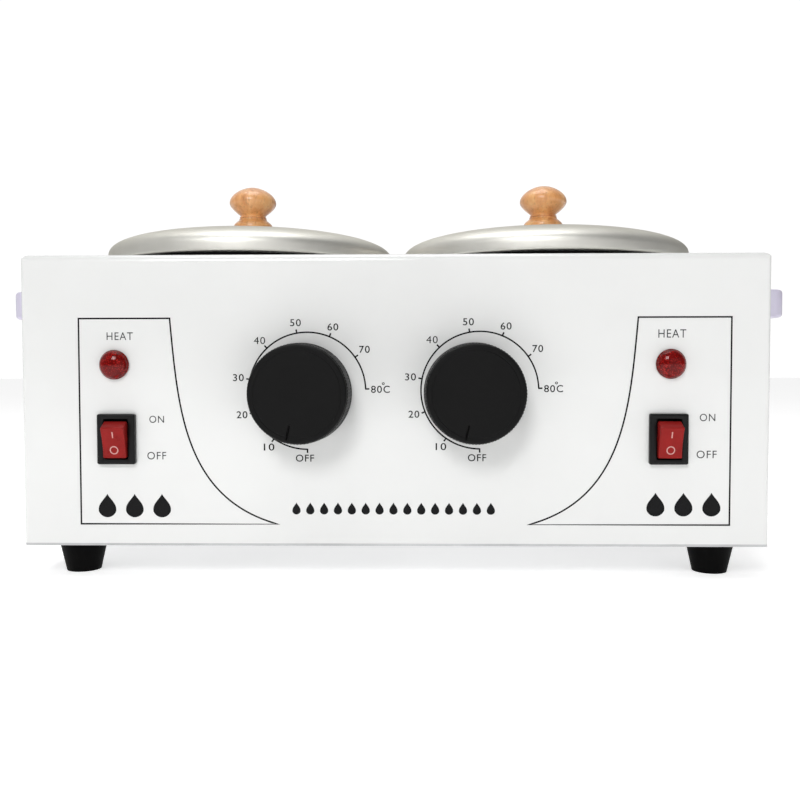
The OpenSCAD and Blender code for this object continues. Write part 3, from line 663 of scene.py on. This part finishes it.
def build_lid(side):
    """A spun lid with a soft shoulder, a rolled rim and a locating ring underneath."""
    node = "lid_" + side
    low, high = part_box(node)
    centre = (low + high) / 2
    edge = (high.x - low.x) / 2 / MM
    shoulder = LID_RING_H + LID_UPRIGHT
    rise = (high.z - low.z) / MM - shoulder

    def dome(wall, from_r, to_r, steps):
        first, last = (math.acos(r / (edge - wall)) for r in (from_r, to_r))
        angles = [first + (last - first) * i / steps for i in range(steps + 1)]
        return [((edge - wall) * math.cos(a),
                 shoulder - wall + rise * math.sin(a) ** LID_SOFTNESS) for a in angles]

    rim = LID_RING_H
    bead_r = edge - LID_BEAD
    ring_in = LID_RING_R - LID_RING_WALL
    profile = dome(0, LID_HOLE_R, edge, 44) + [
        (edge, rim + 2), (edge, rim + 1.1), (edge - 0.14, rim + 0.5), (edge - 0.5, rim + 0.12),
        (edge - 1, rim), (bead_r + 0.6, rim), (bead_r + 0.15, rim + 0.15), (bead_r, rim + 0.6)]
    profile += dome(LID_WALL, bead_r, LID_RING_R, 6)
    profile += [(LID_RING_R, 0.3), (LID_RING_R - 0.3, 0), (ring_in + 0.3, 0), (ring_in, 0.3)]
    profile += dome(LID_WALL, ring_in, LID_HOLE_R, 24)
    turned_piece(node + "_spun", profile, TURNING_STEPS, upright(centre, low.z), "lid_" + side,
                 lid_metal[side], replaces=(node,), closed=True)


# (radius, height) of the turned wood, from the foot up
WOOD_PROFILE = [
    (0, 0), (8.9, 0), (9.5, 0.35), (9.7, 1.0), (9.7, 3.4), (9.62, 4.0), (9.3, 4.7), (8.75, 5.35),
    (8.05, 5.95), (7.4, 6.45), (6.9, 6.85), (6.75, 7.05), (6.85, 7.25), (6.8, 7.5), (6.5, 7.68),
    (6.2, 7.75), (6.2, 7.9), (6.5, 8.0), (6.62, 8.25), (6.5, 8.5), (6.15, 8.65), (6.05, 8.85),
    (6.25, 9.15), (6.9, 9.75), (7.7, 10.4), (8.6, 11.15), (9.45, 11.95), (10.2, 12.75),
    (10.8, 13.5), (11.2, 14.2), (11.4, 14.85), (11.46, 15.4), (11.42, 16.0), (11.25, 16.7),
    (10.9, 17.5), (10.3, 18.4), (9.5, 19.3), (8.4, 20.2), (7.1, 21.05), (5.6, 21.8), (3.9, 22.45),
    (2.0, 22.9), (1.0, 23.05), (0, 23.1)]
WOOD_R, WOOD_H = 11.46, 23.1


def build_lid_knob(side):
    """A turned wooden knob, fitted to the CAD node's own radius and height."""
    node = "lid_knob_" + side
    low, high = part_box(node)
    centre = (low + high) / 2
    radius = (high.x - low.x) / 2 / MM
    height = (high.z - low.z) / MM
    profile = [(r * radius / WOOD_R, h * height / WOOD_H) for r, h in WOOD_PROFILE]
    turned_piece(node + "_turned", profile, 96, upright(centre, low.z), "lid_" + side,
                 wood[side], replaces=(node,), sharp=40)


# ---- Side handles ----

HANDLE_POST, HANDLE_BAR, HANDLE_CORNER, HANDLE_INNER_R = 16, 6.5, 6, 3
HANDLE_EDGE, HANDLE_EDGE_STEPS = 1.6, 4


def inset_line(points, distance):
    """A closed line moved inwards by that distance, corner by corner."""
    moved = []
    for i, here in enumerate(points):
        before = (Vector(here) - Vector(points[i - 1])).normalized()
        after = (Vector(points[(i + 1) % len(points)]) - Vector(here)).normalized()
        normal = Vector((-before.y - after.y, before.x + after.x)).normalized()
        reach = distance / max(0.5, normal.dot(Vector((-before.y, before.x))))
        moved.append((here[0] + normal.x * reach, here[1] + normal.y * reach))
    return moved


def corner_points(x, y, radius, start, steps=8):
    """A quarter circle from the start angle on."""
    angles = [math.radians(start + 90 * i / steps) for i in range(steps + 1)]
    return [(x + radius * math.cos(a), y + radius * math.sin(a)) for a in angles]


def build_handle(side):
    """A moulded pull: two posts against the side panel and a bar between them."""
    node = "side_handle_" + side
    low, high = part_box(node)
    centre = (low + high) / 2
    proud, half, tall = ((high.x - low.x) / MM, (high.y - low.y) / 2 / MM, (high.z - low.z) / MM)
    wall_x = high.x if side == "left" else low.x
    r, inner_x, inner_y = HANDLE_CORNER, proud - HANDLE_BAR, half - HANDLE_POST
    outline = [(0, -half)] + corner_points(proud - r, r - half, r, -90)
    outline += corner_points(proud - r, half - r, r, 0) + [(0, half), (0, inner_y)]
    r = HANDLE_INNER_R
    outline += corner_points(inner_x - r, inner_y - r, r, 90)[::-1]
    outline += corner_points(inner_x - r, r - inner_y, r, -90)[::-1] + [(0, -inner_y)]
    levels = []
    for i in range(HANDLE_EDGE_STEPS + 1):
        angle = math.pi / 2 * i / HANDLE_EDGE_STEPS
        levels.append((HANDLE_EDGE * (1 - math.sin(angle)), HANDLE_EDGE * (1 - math.cos(angle))))
    levels += [(inset, tall - height) for inset, height in reversed(levels)]
    verts, rings = [], []
    for inset, height in levels:
        ring = []
        for x, y in inset_line(outline, inset):
            ring.append(len(verts))
            verts.append(Vector((wall_x + FLIP[side] * max(x, 0) * MM, centre.y + y * MM,
                                 low.z + height * MM)))
        rings.append(ring)
    new_piece(node + "_pull", verts, outward(verts, capped_faces(rings)), "housing",
              materials["handle_plastic"], replaces=(node,), sharp=50)


# ---- Panel print ----

INK_T = 0.03
DIALS = {"left": (-34.71, 76.13), "right": (34.87, 76.33)}
ARC_R, ARC_LINE, ARC_STEPS = 23.65, 0.62, 120
TICK, TICK_OVERLAP = 1.5, 0.2
TICK_ANGLES = (270, 235, 201.5, 168.7, 133.2, 100, 67.5, 35, 1.8)
LABEL_H = 2.9
# (text, x, z, width), from the middle of the dial
LABELS = [("OFF", -1.05, -27.25, 7.4), ("10", -15.6, -22.75, 4.3), ("20", -26.5, -9.65, 4.4),
          ("30", -27.85, 5.4, 4.4), ("40", -19.2, 20.35, 4.6), ("50", -4.6, 27.5, 4.4),
          ("60", 10.5, 25.75, 4.4), ("70", 23.2, 16.7, 4.3), ("80", 28.0, 0.6, 4.4),
          ("C", 32.1, 0.6, 2.6)]
DEGREE_X, DEGREE_Z, DEGREE_R, DEGREE_HOLE = 30.75, 2.9, 0.55, 0.25
OUTLINE_MIDDLE, OUTLINE_EDGE, OUTLINE_TOP, OUTLINE_BOTTOM = 3.9, 131.3, 105.5, 21.95
OUTLINE_SWEEP = [(94.2, OUTLINE_TOP), (91.1, 69.3), (89.3, 32.5), (50.8, OUTLINE_BOTTOM)]
OUTLINE_LINE, OUTLINE_STEPS = 0.66, 48
# (text, x, z, height, width)
SMALL_LABELS = [
    ("HEAT", -110.65, 98.35, 3.1, 10.7), ("HEAT", 111.65, 98.95, 3.3, 11.1),
    ("ON", -96.0, 64.65, 2.9, 6.0), ("ON", 126.0, 65.3, 3.0, 6.2),
    ("OFF", -96.15, 49.85, 3.1, 7.7), ("OFF", 125.8, 50.45, 3.1, 8.0),
]
DROPS = {"left": (-105.4, 29.45), "right": (116.75, 30.2)}
DROP_W, DROP_H, DROP_PITCH = 7.6, 9.6, 11.2
ROW_X, ROW_Z, ROW_REACH, ROW_COUNT = 0.05, 28.4, 42.2, 15
ROW_DROP_W, ROW_DROP_H = 3.5, 4.9


def stroke(points, width):
    """The outline of a line of that width along open points."""
    left, right = [], []
    for i, (x, z) in enumerate(points):
        ax, az = points[max(i - 1, 0)]
        bx, bz = points[min(i + 1, len(points) - 1)]
        length = math.hypot(bx - ax, bz - az)
        nx, nz = -(bz - az) / length * width / 2, (bx - ax) / length * width / 2
        left.append((x + nx, z + nz))
        right.append((x - nx, z - nz))
    return left + right[::-1]


def loop_stroke(points, width):
    """A band of that width along a closed line with corners."""
    outer, inner = [], []
    n = len(points)
    for i in range(n):
        a, b, c = Vector(points[i - 1]), Vector(points[i]), Vector(points[(i + 1) % n])
        first, second = (b - a).normalized(), (c - b).normalized()
        normal = Vector((-first.y, first.x)) + Vector((-second.y, second.x))
        normal = normal.normalized() * (width / 2)
        corner = max(0.35, Vector((-first.y, first.x)).dot(normal.normalized()))
        outer.append(tuple(b + normal / corner))
        inner.append(tuple(b - normal / corner))
    return outer, inner


def disc(x, z, radius, steps=24):
    return [(x + radius * math.cos(2 * math.pi * i / steps),
             z + radius * math.sin(2 * math.pi * i / steps)) for i in range(steps)]


def panel_print(name, outlines):
    """Thin solids of ink on the front panel. Each outline is a list of (x, z) points in mm, or
    a pair of equally long lists for a band between two closed lines."""
    verts, faces = [], []
    for outline in outlines:
        base = len(verts)
        is_band = isinstance(outline[0][0], tuple)
        points = outline[0] + outline[1] if is_band else outline
        for y in (PANEL_Y, PANEL_Y - INK_T * MM):
            verts += [Vector((x * MM, y, z * MM)) for x, z in points]
        if is_band:
            faces += band_faces(base, len(outline[0]))
        else:
            n = len(outline)
            faces.append(tuple(base + i for i in range(n)))
            faces.append(tuple(base + n + n - 1 - i for i in range(n)))
            for i in range(n):
                j = (i + 1) % n
                faces.append((base + i, base + n + i, base + n + j, base + j))
    new_piece(name, verts, outward(verts, faces), "housing", ink)


def lettering(name, words, material, weight=0.008):
    """Print set in the built-in letters. words is a list of (text, x, z, height, width) in mm,
    and weight thickens the strokes, as a share of the letters' size."""
    verts, faces = [], []
    for text, x, z, height, width in words:
        curve = bpy.data.curves.new(name + "_letters", "FONT")
        curve.body = text
        curve.offset = 0 if "4" in text else weight  # a thickened 4 would lose its counter
        curve.space_character = 1.12
        curve.resolution_u = 5
        curve.extrude = 0.5
        letters = bpy.data.objects.new(name + "_letters", curve)
        bpy.context.scene.collection.objects.link(letters)
        mesh = letters.to_mesh()
        xs = [v.co.x for v in mesh.vertices]
        ys = [v.co.y for v in mesh.vertices]
        tall, wide = height / (max(ys) - min(ys)), width / (max(xs) - min(xs))
        x_mid, y_mid = (max(xs) + min(xs)) / 2, (max(ys) + min(ys)) / 2
        base = len(verts)
        for v in mesh.vertices:
            verts.append(Vector(((x + (v.co.x - x_mid) * wide) * MM,
                                 PANEL_Y - (v.co.z + 0.5) * INK_T * MM,
                                 (z + (v.co.y - y_mid) * tall) * MM)))
        faces += [tuple(base + i for i in polygon.vertices) for polygon in mesh.polygons]
        letters.to_mesh_clear()
        bpy.data.objects.remove(letters)
    new_piece(name, verts, faces, "housing", material)


def build_dial(side):
    """The scale round a knob: an arc from the first tick to the last, with its numbers."""
    x0, z0 = DIALS[side]
    arc = []
    for i in range(ARC_STEPS + 1):
        angle = math.radians(TICK_ANGLES[0] + (TICK_ANGLES[-1] - TICK_ANGLES[0]) * i / ARC_STEPS)
        arc.append((x0 + ARC_R * math.cos(angle), z0 + ARC_R * math.sin(angle)))
    outlines = [stroke(arc, ARC_LINE)]
    for degrees in TICK_ANGLES:
        angle = math.radians(degrees)
        c, s = math.cos(angle), math.sin(angle)
        ends = [(x0 + r * c, z0 + r * s) for r in (ARC_R - TICK_OVERLAP, ARC_R + TICK)]
        outlines.append(stroke(ends, ARC_LINE))
    ring = tuple(disc(x0 + DEGREE_X, z0 + DEGREE_Z, r) for r in (DEGREE_R, DEGREE_HOLE))
    panel_print("dial_scale_" + side, outlines + [ring])
    words = [(text, x0 + x, z0 + z, LABEL_H, width) for text, x, z, width in LABELS]
    lettering("dial_numbers_" + side, words, ink)


def build_side_outline(side):
    """A straight-sided frame whose inner side sweeps down into a point."""
    points = [(OUTLINE_EDGE, OUTLINE_BOTTOM), (OUTLINE_EDGE, OUTLINE_TOP)]
    a, b, c, d = (Vector(p) for p in OUTLINE_SWEEP)
    for i in range(OUTLINE_STEPS + 1):
        t = i / OUTLINE_STEPS
        points.append((1 - t) ** 3 * a + 3 * (1 - t) ** 2 * t * b + 3 * (1 - t) * t * t * c
                      + t ** 3 * d)
    points = [(OUTLINE_MIDDLE + FLIP[side] * x, z) for x, z in points]
    panel_print("side_outline_" + side, [loop_stroke(points, OUTLINE_LINE)])


def drop(x, z, width, height):
    """The outline of a drop of wax, point up: a round bottom, and sides drawn in to the tip."""
    radius, steps = width / 2, 9
    low = z - height / 2 + radius
    bottom = [(x + radius * math.cos(a), low + radius * math.sin(a))
              for a in (math.radians(200 + 10 * i) for i in range(15))]
    right = []
    for i in range(1, steps):
        t = i / steps
        right.append((x + radius * math.cos(math.radians(-20 + 9 * i)) * (1 - t ** 1.6),
                      low + (height - radius) * t ** 0.85 + radius * -0.34 * (1 - t)))
    left = [(2 * x - px, pz) for px, pz in reversed(right)]
    return bottom + right + [(x, z + height / 2)] + left


def build_marks():
    """Wax drops in place of the product words, and the generic small labels."""
    for side in SIDES:
        x, z = DROPS[side]
        panel_print("wax_drops_" + side, [drop(x + shift, z, DROP_W, DROP_H)
                                          for shift in (-DROP_PITCH, 0, DROP_PITCH)])
    row = []
    for i in range(ROW_COUNT):
        x = ROW_X - ROW_REACH + 2 * ROW_REACH * (i + 0.5) / ROW_COUNT
        row.append(drop(x, ROW_Z, ROW_DROP_W, ROW_DROP_H))
    panel_print("centre_drops", row)
    lettering("small_labels", SMALL_LABELS, faint_ink, weight=0)


# ---- Rocker switches ----

BEZEL_T = 2.5
PIVOT_PROUD = 0.8
ROCKER_W, ROCKER_TILT = 9.2, 16
ROCKER_HALF, ROCKER_END_H, ROCKER_MID_H, ROCKER_WIDE = 6.5, 4.9, 4.4, 7.4
ROCKER_CORE_H = 1.0
FACE_STEPS = 18
PIN_R, PIN_SIDES = 1.2, 20
OPENING_W, OPENING_H, OPENING_D = 9.7, 16.2, 8
SWITCH_BODY_W, SWITCH_BODY_H, SWITCH_DEPTH = 12.9, 18.9, 15
MARK_BACK, MARK_FRONT = -0.06, 0.05
BAR_FROM, BAR_LENGTH, BAR_HALF, BAR_STEPS = 2.1, 2.6, 0.22, 6
RING_V, RING_R, RING_HOLE_R, RING_STEPS = -3.1, 1.72, 1.3, 40


def rounded_rect(half_w, half_h, radius, steps=6):
    """A rectangle round the origin with rounded corners."""
    points = []
    for quarter in range(4):
        sx, sz = ((1, 1), (-1, 1), (-1, -1), (1, -1))[quarter]
        for i in range(steps):
            angle = math.pi / 2 * (quarter + i / (steps - 1))
            points.append((sx * (half_w - radius) + radius * math.cos(angle),
                           sz * (half_h - radius) + radius * math.sin(angle)))
    return points


def build_bezel(side):
    """The switch's case: a rounded frame on the panel, and the body that snaps in behind it."""
    node = "switch_housing_" + side
    low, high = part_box(node)
    centre = (low + high) / 2
    w, h = (high.x - low.x) / 2 / MM, (high.z - low.z) / 2 / MM
    open_w, open_h = OPENING_W / 2, OPENING_H / 2
    levels = [
        (SWITCH_BODY_W / 2 - 0.3, SWITCH_BODY_H / 2 - 0.3, 0.3, -SWITCH_DEPTH),
        (SWITCH_BODY_W / 2, SWITCH_BODY_H / 2, 0.4, 0.3 - SWITCH_DEPTH),
        (SWITCH_BODY_W / 2, SWITCH_BODY_H / 2, 0.4, 0),
        (w - 0.1, h - 0.1, 0.7, 0), (w, h, 0.8, 0.15), (w, h, 0.8, BEZEL_T - 0.7),
        (w - 0.08, h - 0.08, 0.7, BEZEL_T - 0.35), (w - 0.3, h - 0.3, 0.6, BEZEL_T - 0.08),
        (w - 0.6, h - 0.6, 0.5, BEZEL_T), (open_w + 0.55, open_h + 0.45, 0.5, BEZEL_T),
        (open_w + 0.2, open_h + 0.15, 0.4, BEZEL_T - 0.12),
        (open_w, open_h, 0.3, BEZEL_T - 0.45), (open_w, open_h, 0.3, -OPENING_D),
    ]
    verts, rows = [], []
    for half_w, half_h, radius, height in levels:
        row = []
        for x, z in rounded_rect(half_w, half_h, radius):
            row.append(len(verts))
            verts.append(Vector((centre.x + x * MM, PANEL_Y - height * MM, centre.z + z * MM)))
        rows.append(row)
    new_piece(node + "_frame", verts, outward(verts, capped_faces(rows)), "housing",
              materials["bezel_plastic"], replaces=(node,), sharp=40)


def face_height(v):
    """How far the rocker's dished face stands from its pivot, at v up the face."""
    return ROCKER_MID_H + (ROCKER_END_H - ROCKER_MID_H) * (v / ROCKER_HALF) ** 2


def rocker_point(centre, u, v, h):
    """A point given along the rocker's width, up its face and out of it, at rest."""
    tilt = math.radians(ROCKER_TILT)
    up = v * math.cos(tilt) - h * math.sin(tilt)
    out = v * math.sin(tilt) + h * math.cos(tilt)
    return Vector((centre.x + u * MM, PANEL_Y - (PIVOT_PROUD + out) * MM, centre.z + up * MM))


def build_rocker(side):
    """A rocker key on two pins, with its marks. The node and its body have the same name."""
    node = "rocker_" + side
    low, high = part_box(node)
    centre = Vector(((low.x + high.x) / 2, 0, centre_of("switch_housing_" + side).z))
    tip = [(ROCKER_WIDE, -0.35), (ROCKER_HALF + 0.3, 3.2),
           (ROCKER_HALF - 0.02, ROCKER_END_H - 0.25), (ROCKER_HALF - 0.25, ROCKER_END_H - 0.02)]
    profile = [(-5, -3), (5, -3)] + tip
    for i in range(1, FACE_STEPS):
        v = (ROCKER_HALF - 0.3) * (1 - 2 * i / FACE_STEPS)
        profile.append((v, face_height(v) - 0.02))
    profile += [(-v, h) for v, h in reversed(tip)]
    half = ROCKER_W / 2
    verts, rows = [], []
    for u, inset in ((-half, 0.34), (-half + 0.1, 0.1), (-half + 0.34, 0), (half - 0.34, 0),
                     (half - 0.1, 0.1), (half, 0.34)):
        row = []
        for v, h in profile:
            row.append(len(verts))
            keep = 1 - inset / math.hypot(v, h - ROCKER_CORE_H)
            verts.append(rocker_point(centre, u, v * keep,
                                      ROCKER_CORE_H + (h - ROCKER_CORE_H) * keep))
        rows.append(row)
    new_piece(node + "_key", verts, outward(verts, capped_faces(rows)), node,
              materials["rocker_plastic"], replaces=(node,), sharp=40)
    pin_half = (high.x - low.x) / 2 / MM
    pins, pin_faces = [], []
    for end in (-1, 1):
        rows = []
        for u in (end * (half - 0.2), end * pin_half):
            rows.append(list(range(len(pins), len(pins) + PIN_SIDES)))
            for i in range(PIN_SIDES):
                angle = 2 * math.pi * i / PIN_SIDES
                pins.append(rocker_point(centre, u, PIN_R * math.cos(angle),
                                         PIN_R * math.sin(angle)))
        part = capped_faces(rows)
        pin_faces += part if end > 0 else [tuple(reversed(f)) for f in part]
    new_piece(node + "_pins", pins, outward(pins, pin_faces), node,
              materials["rocker_plastic"])
    build_rocker_marks(side, centre)


def build_rocker_marks(side, centre):
    """A bar and a ring printed on the rocker's face, as bands between two lines of (u, v)."""
    heights = [BAR_FROM + BAR_LENGTH * i / BAR_STEPS for i in range(BAR_STEPS + 1)]
    bar = [[(u, v) for v in heights] for u in (-BAR_HALF, BAR_HALF)]
    ring = [disc(0, RING_V, radius, RING_STEPS) for radius in (RING_R, RING_HOLE_R)]
    for mark, (first, second), closed in (("on", bar, False), ("off", ring, True)):
        verts = [rocker_point(centre, u, v, face_height(v) + lift)
                 for lift in (MARK_BACK, MARK_FRONT) for u, v in first + second]
        new_piece(f"rocker_mark_{mark}_{side}", verts,
                  outward(verts, band_faces(0, len(first), closed)), "rocker_" + side,
                  mark_paint)


# ---- Camera, lights and stage ----

CAMERA_AT = Vector((0.01014, PANEL_Y - 0.35744, 0.08603))
CAMERA_YAW, CAMERA_PITCH, CAMERA_ROLL = 1.18, 2.18, -0.09
LENS, SENSOR, CLIP_START = 39.93, 36, 0.01
# (name, place, aim, size, power)
SOFTBOXES = [
    ("key_softbox", (-0.26, -1.12, 0.82), (0, 0, 0.1), (0.42, 0.42), 6.5),
    ("fill_softbox", (0.75, -1.2, 0.35), (0, 0, 0.1), (1.6, 0.8), 1.5),
    ("left_softbox", (-1.1, -0.5, 0.6), (0, 0, 0.08), (0.5, 0.7), 0.35),
    ("top_softbox", (-0.1, 0.0, 1.2), (0, 0.02, 0.1), (0.7, 0.7), 4.6),
]
FLOOR_HALF = 6
BACKDROP_STRENGTH = 1.05
# (strength at the start, strength at the end, start, end) along each axis of the studio walls
WALL_DEPTH = (0.28, 0.8, -0.5, 0.6)
WALL_ACROSS = (1.0, 0.42, -0.1, 0.9)
WALL_HEIGHT = (0.5, 1.0, -0.1, 0.5)


def build_camera():
    """The camera that matches the photograph."""
    yaw, pitch, roll = (math.radians(a) for a in (CAMERA_YAW, CAMERA_PITCH, CAMERA_ROLL))
    ahead = Vector((-math.sin(yaw) * math.cos(pitch), math.cos(yaw) * math.cos(pitch),
                    -math.sin(pitch)))
    right = Vector((math.cos(yaw), math.sin(yaw), 0))
    up = right.cross(ahead)
    right, up = (math.cos(roll) * right + math.sin(roll) * up,
                 math.cos(roll) * up - math.sin(roll) * right)
    data = bpy.data.cameras.new("camera")
    data.lens = LENS
    data.sensor_width = SENSOR
    data.clip_start = CLIP_START
    camera = bpy.data.objects.new("camera", data)
    camera.matrix_world = Matrix((
        (right.x, up.x, -ahead.x, CAMERA_AT.x),
        (right.y, up.y, -ahead.y, CAMERA_AT.y),
        (right.z, up.z, -ahead.z, CAMERA_AT.z),
        (0, 0, 0, 1)))
    bpy.context.scene.collection.objects.link(camera)
    bpy.context.scene.camera = camera


def area_light(name, at, aim, size, power):
    data = bpy.data.lights.new(name, "AREA")
    data.shape = "RECTANGLE"
    data.size, data.size_y = size
    data.energy = power
    light = bpy.data.objects.new(name, data)
    light.location = at
    light.rotation_euler = (Vector(aim) - Vector(at)).to_track_quat("-Z", "Y").to_euler()
    bpy.context.scene.collection.objects.link(light)


def build_world():
    """White behind everything, and softer studio walls in reflections: bright behind, on the
    left and above, darker in front, on the right and below."""
    world = bpy.data.worlds.new("studio")
    world.use_nodes = True
    nodes, links = world.node_tree.nodes, world.node_tree.links
    nodes.clear()
    out = nodes.new("ShaderNodeOutputWorld")
    split = nodes.new("ShaderNodeSeparateXYZ")
    links.new(nodes.new("ShaderNodeTexCoord").outputs["Generated"], split.inputs[0])

    def spread(axis, low, high, start, end):
        made = nodes.new("ShaderNodeMapRange")
        made.interpolation_type = "SMOOTHSTEP"
        made.inputs["From Min"].default_value = start
        made.inputs["From Max"].default_value = end
        made.inputs["To Min"].default_value = low
        made.inputs["To Max"].default_value = high
        links.new(split.outputs[axis], made.inputs["Value"])
        return made.outputs["Result"]

    def times(a, b):
        made = nodes.new("ShaderNodeMath")
        made.operation = "MULTIPLY"
        links.new(a, made.inputs[0])
        links.new(b, made.inputs[1])
        return made.outputs[0]

    def background():
        made = nodes.new("ShaderNodeBackground")
        made.inputs["Color"].default_value = (1, 1, 1, 1)
        return made

    walls, backdrop = background(), background()
    strength = times(times(spread("Y", *WALL_DEPTH), spread("X", *WALL_ACROSS)),
                     spread("Z", *WALL_HEIGHT))
    links.new(strength, walls.inputs["Strength"])
    backdrop.inputs["Strength"].default_value = BACKDROP_STRENGTH
    path = nodes.new("ShaderNodeLightPath")
    mix = nodes.new("ShaderNodeMixShader")
    links.new(path.outputs["Is Camera Ray"], mix.inputs[0])
    links.new(walls.outputs[0], mix.inputs[1])
    links.new(backdrop.outputs[0], mix.inputs[2])
    links.new(mix.outputs[0], out.inputs["Surface"])
    bpy.context.scene.world = world


def build_stage():
    """The floor, the world and the lights."""
    size = FLOOR_HALF
    mesh = bpy.data.meshes.new("floor")
    mesh.from_pydata([(-size, -size, 0), (size, -size, 0), (size, size, 0), (-size, size, 0)],
                     [], [(0, 1, 2, 3)])
    mesh.materials.append(make_floor())
    floor = bpy.data.objects.new("floor", mesh)
    bpy.context.scene.collection.objects.link(floor)
    build_world()
    for softbox in SOFTBOXES:
        area_light(*softbox)
    bpy.context.scene.view_settings.view_transform = "Standard"


build_camera()
build_stage()
dress_cad()
for side in SIDES:
    build_knob(side)
    build_indicator(side)
    build_lid(side)
    build_lid_knob(side)
    build_bezel(side)
    build_rocker(side)
    build_handle(side)
    build_dial(side)
    build_side_outline(side)
build_marks()
